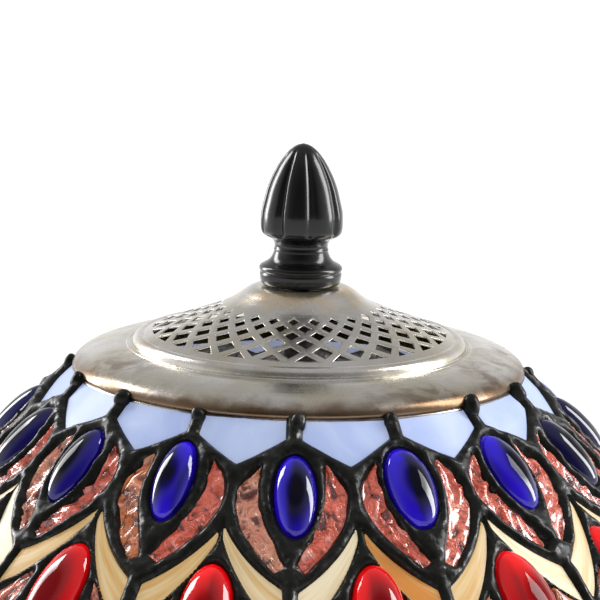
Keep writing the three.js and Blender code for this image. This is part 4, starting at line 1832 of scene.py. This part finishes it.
@dataclass
class Light:
    """One socket with its bulb and pull chain. side is -1 for the left one and 1 for the right."""

    name: str
    side: int
    tilt: float = math.radians(30)
    foot: Point = (40.0, 384.0)
    bead: float = 1.3  # the beads' radius
    pitch: float = 3.0  # from bead to bead
    travel: float = 12.0  # of the chain when it is pulled

    def matrix(self) -> Matrix:
        """Carries the socket's own frame, with its foot at 0, into place."""
        turn = Matrix.Rotation(self.side * self.tilt, 4, "Y")
        return Matrix.Translation(Vector((self.side * self.foot[0], 0, self.foot[1]))) @ turn

    def _make(self, name: str, surface: Surface, look: Look, body: str, nodes: Sequence[str]) -> None:
        """A piece in the socket's frame."""
        make_piece(f"{name}_{self.name}", surface.moved(self.matrix()), look, body, nodes, sharp=45)

    def build(self) -> None:
        """Makes the socket, the bulb and the chain."""
        s = self.name
        cap = rounded([(3.5, 0), (9, 0), (13, 2.5), (17, 6), (17.4, 10), (17.4, 15), (16, 15), (15.8, 7.2),
                       (12.4, 4), (8.6, 1.6), (3.5, 1.6)], 2)
        self._make("turned_cap", turned(cap), Look.BRASS, "stand", [f"socket_cap_{s}"])
        self._make("turned_shell", self.shell(), Look.BRASS, "stand", [f"socket_shell_{s}"])
        dress_node(f"socket_core_{s}", Look.PHENOLIC)
        dress_node(f"screw_shell_{s}", Look.BRASS)
        dress_node(f"cluster_arm_{s}", Look.CAP)
        self._make("threaded_cap", self.thread(), Look.STEEL, f"bulb_{s}", [f"bulb_cap_{s}"])
        self._make("frosted_globe", self.globe(), Look.BULB, f"bulb_{s}", [f"bulb_glass_{s}"])
        self.make_chain()

    def shell(self) -> Surface:
        """The socket's shell, beaded at both ends, with the chain's guide at its side."""
        wall = [(15.5, 15.3), (16.7, 15.3), (17.3, 16.2), (17.3, 17.4), (16.7, 18.4), (16.7, 42.6), (17.3, 43.6),
                (17.3, 45.4), (16.7, 46.6), (15.5, 46.9)]
        guide = tube(np.array([[0, -15.9, 26], [0, -17, 26], [0, -20, 26], [0, -23, 26], [0, -23.6, 26]]),
                     np.array([3.0, 3.0, 2.6, 2.7, 2.2]), 20)
        return joined([turned(rounded(wall, 2)), guide])

    def thread(self) -> Surface:
        """The bulb's screw cap: its radius waves along its height, one turn for each ridge."""
        z = np.linspace(31, 48, 70)
        body = np.stack([np.full_like(z, 12.7), z], 1)
        line = np.concatenate([[(0, 24.5), (3.6, 24.6), (4.6, 26.0), (7, 27.2), (11.6, 29.0), (12.3, 30.2)],
                               body,
                               [(12.2, 49.4), (11.4, 50.8), (0, 51)]])
        pitch = 3.63

        def helix(r: Array, h: Array, azimuth: Array) -> tuple[Array, Array]:
            """A ridge that climbs by one pitch in each turn."""
            on = np.clip((h - 30.8) / 2, 0, 1) * np.clip((48.4 - h) / 2, 0, 1)
            return r + 0.45 * on * np.sin(TURN * h / pitch - azimuth), h

        return turned(line, 64, helix, closed=False)

    def globe(self) -> Surface:
        """A round bulb of thin glass, open at its neck under the cap."""
        t = np.radians(np.linspace(-52, 90, 40))
        outside = np.stack([24 * np.cos(t), 93 + 24 * np.sin(t)], 1)
        neck = rounded([(11.5, 51.3), (11.6, 55), (12.1, 61), (13.0, 69), tuple(outside[0])], 2, closed=False)
        line = np.concatenate([neck[:-1], outside])
        inside = line[::-1] - [1.0, 0]
        inside[:, 1] = np.minimum(inside[:, 1], 116)
        inside[:, 0] = np.maximum(inside[:, 0], 0)
        return turned(np.concatenate([line, inside]), 64)

    @staticmethod
    def _beads(axis: Point, at: Array, ends: Point, radius: float, wire: float) -> Surface:
        """A straight run of beads on one wire.

        Args:
            axis: the run's x and y.
            at: the height of each bead.
            ends: the heights of the wire's ends.
            radius: the beads' radius.
            wire: the wire's radius.

        Returns:
            The run.
        """
        line = np.array([[*axis, z] for z in (ends[0], sum(ends) / 2, ends[1])])
        return joined([*(ball((*axis, z), radius, 7, 10) for z in at), tube(line, wire, 8)])

    def make_chain(self) -> None:
        """A chain of beads on short links, ending in a turned drop.

        The beads stand a whole number of times in the chain's travel. A few that don't move hang
        inside the topmost ones, and are left at the outlet when the chain is pulled.
        """
        s = self.name
        x, y = (low(f"pull_chain_{s}") + high(f"pull_chain_{s}"))[:2] / 2
        bottom, top = levels(f"pull_chain_{s}")
        first = top - self.bead
        at = np.arange(first, bottom + 1.0, -self.pitch)
        moving = self._beads((x, y), at, (top - 0.4, bottom + 0.4), self.bead, 0.45)
        make_piece(f"bead_chain_{s}", moving, Look.BRASS, f"chain_{s}", [f"pull_chain_{s}"])
        stops = first, first - self.travel
        still = self._beads((x, y), np.arange(first, stops[1] + 1, -self.pitch), stops, self.bead - 0.08, 0.4)
        make_piece(f"outlet_beads_{s}", still, Look.BRASS, "stand")
        z = high(f"chain_knob_{s}")[2]
        drop = rounded([(0, 0), (1.6, 0), (2.2, -1.4), (1.7, -2.8), (2.6, -5), (4.1, -8.6),
                        (4.6, -11.6), (3.7, -14.4), (1.6, -15.8), (0, -16)], 2, closed=False)
        surface = turned(drop, 40, closed=False).moved(Matrix.Translation((x, y, z)))
        make_piece(f"turned_drop_{s}", surface, Look.BRASS, f"chain_{s}", [f"chain_knob_{s}"])


class Cluster:
    """The body that holds both sockets."""

    def build(self) -> None:
        """Turns the body, then makes both lights."""
        z0, z1 = levels("cluster_body")
        line = rounded([(5.4, z0), (19.4, z0), (20.8, z0 + 2), (20.8, z0 + 19), (19.8, z0 + 22), (15, z0 + 25.5),
                        (10.4, z0 + 28.5), (9, z1 - 3), (9, z1), (5.4, z1)], 2)
        make_piece("turned_cluster", turned(line), Look.CAP, "stand", ["cluster_body"], sharp=45)
        for name, side in (("left", -1), ("right", 1)):
            Light(name, side).build()


# ---- The studio ----------------------------------------------------------------------------


@dataclass
class Studio:
    """The floor, the lights and the camera."""

    distance: float = 0.68
    azimuth: float = math.radians(0.46)
    elevation: float = math.radians(12.1)
    roll: float = math.radians(1.31)
    lens: float = 122.5
    aim_height: float = 0.0192  # the camera's aim, above the rim plane
    floor_reach: float = 60.0

    def build(self) -> None:
        """Sets everything up."""
        self.make_camera()
        self.make_floor()
        self.make_world()
        target = Vector((0, 0, (CAP_Z - 20) * MM))
        self.make_light("right_strip", (1.05, 0.1, 1.02), target, (0.4, 1.2), 17)
        self.make_light("left_strip", (-1.05, 0.62, 0.98), target, (0.4, 1.2), 18)
        self.make_sun()
        bpy.context.scene.view_settings.view_transform = "Standard"

    def make_camera(self) -> None:
        """Looks at the cap from a little above it, with a slight roll."""
        data = bpy.data.cameras.new("camera")
        data.sensor_width = 36
        data.lens = self.lens
        data.clip_end = 200
        camera = linked("camera", data)
        bpy.context.scene.camera = camera
        a, e = self.azimuth, self.elevation
        back = Vector((math.sin(a) * math.cos(e), -math.cos(a) * math.cos(e), math.sin(e)))
        rim = Vector((0, 0, CAP_Z * MM))
        self.aim(camera, rim + back * self.distance, rim + Vector((0, 0, self.aim_height)), self.roll)

    @staticmethod
    def aim(thing: bpy.types.Object, place: Sequence[float], target: Vector, roll: float = 0.0) -> None:
        """Stands a camera or a light somewhere and faces it to a target.

        Args:
            thing: the object.
            place: where it stands.
            target: the point that it faces.
            roll: how far it is turned about its own view, in radians.
        """
        thing.location = place
        thing.rotation_mode = "QUATERNION"
        look = (target - Vector(place)).to_track_quat("-Z", "Y")
        thing.rotation_quaternion = look @ Matrix.Rotation(roll, 3, "Z").to_quaternion()

    def make_floor(self) -> None:
        """A wide pale floor."""
        size = self.floor_reach
        corners = [(-size, -size, 0), (size, -size, 0), (size, size, 0), (-size, size, 0)]
        mesh = bpy.data.meshes.new("floor")
        mesh.from_pydata(corners, [], [(0, 1, 2, 3)])
        tree = ShaderTree(bpy.data.materials.new("pale_floor"))
        mottle = tree.mix(tree.noise(3, 2).ramp(0.2, 0.8), (0.93, 0.93, 0.935), (0.95, 0.95, 0.95))
        mesh.materials.append(tree.finish(Base_Color=mottle, Roughness=0.9, Specular_IOR_Level=0.0))
        linked("floor", mesh)

    def make_world(self) -> None:
        """A bright room that darkens upwards, and towards the side that the lamp faces."""
        world = bpy.data.worlds.new("studio")
        bpy.context.scene.world = world
        tree = ShaderTree(world, "Background")
        _, depth, height = tree.parts(tree.node("ShaderNodeTexCoord", {}, {}, "Generated"))
        strength = height.ramp(0.0, 0.7, 1.05, 0.44) * depth.ramp(-0.95, -0.2, 0.15, 1.0)
        tree.finish(Color=(0.98, 0.985, 1.0), Strength=strength)

    def make_sun(self) -> None:
        """Soft light from above, which doesn't show in reflections."""
        data = bpy.data.lights.new("overhead", "SUN")
        data.energy = 2.4
        data.angle = math.radians(50)
        sun = linked("overhead", data)
        sun.rotation_euler = (math.radians(14), 0, 0)
        sun.visible_glossy = False

    def make_light(
        self, name: str, place: Sequence[float], target: Vector, size: Point, power: float
    ) -> None:
        """A soft box that faces the target.

        Args:
            name: its name.
            place: where it stands.
            target: the point that it faces.
            size: its width and height.
            power: in watts.
        """
        data = bpy.data.lights.new(name, "AREA")
        data.shape = "RECTANGLE"
        data.size, data.size_y = size
        data.energy = power
        light = linked(name, data)
        light.visible_camera = False
        self.aim(light, place, target)


def main() -> None:
    """Builds the lamp from its cap down, then the studio."""
    logging.basicConfig(level=logging.INFO, format="%(name)s: %(message)s")
    for part in (Finial(), Cap(), Shade(), Cluster(), Stand(), Studio()):
        LOG.info("building %s", type(part).__name__)
        part.build()


if __name__ == "__main__":
    main()
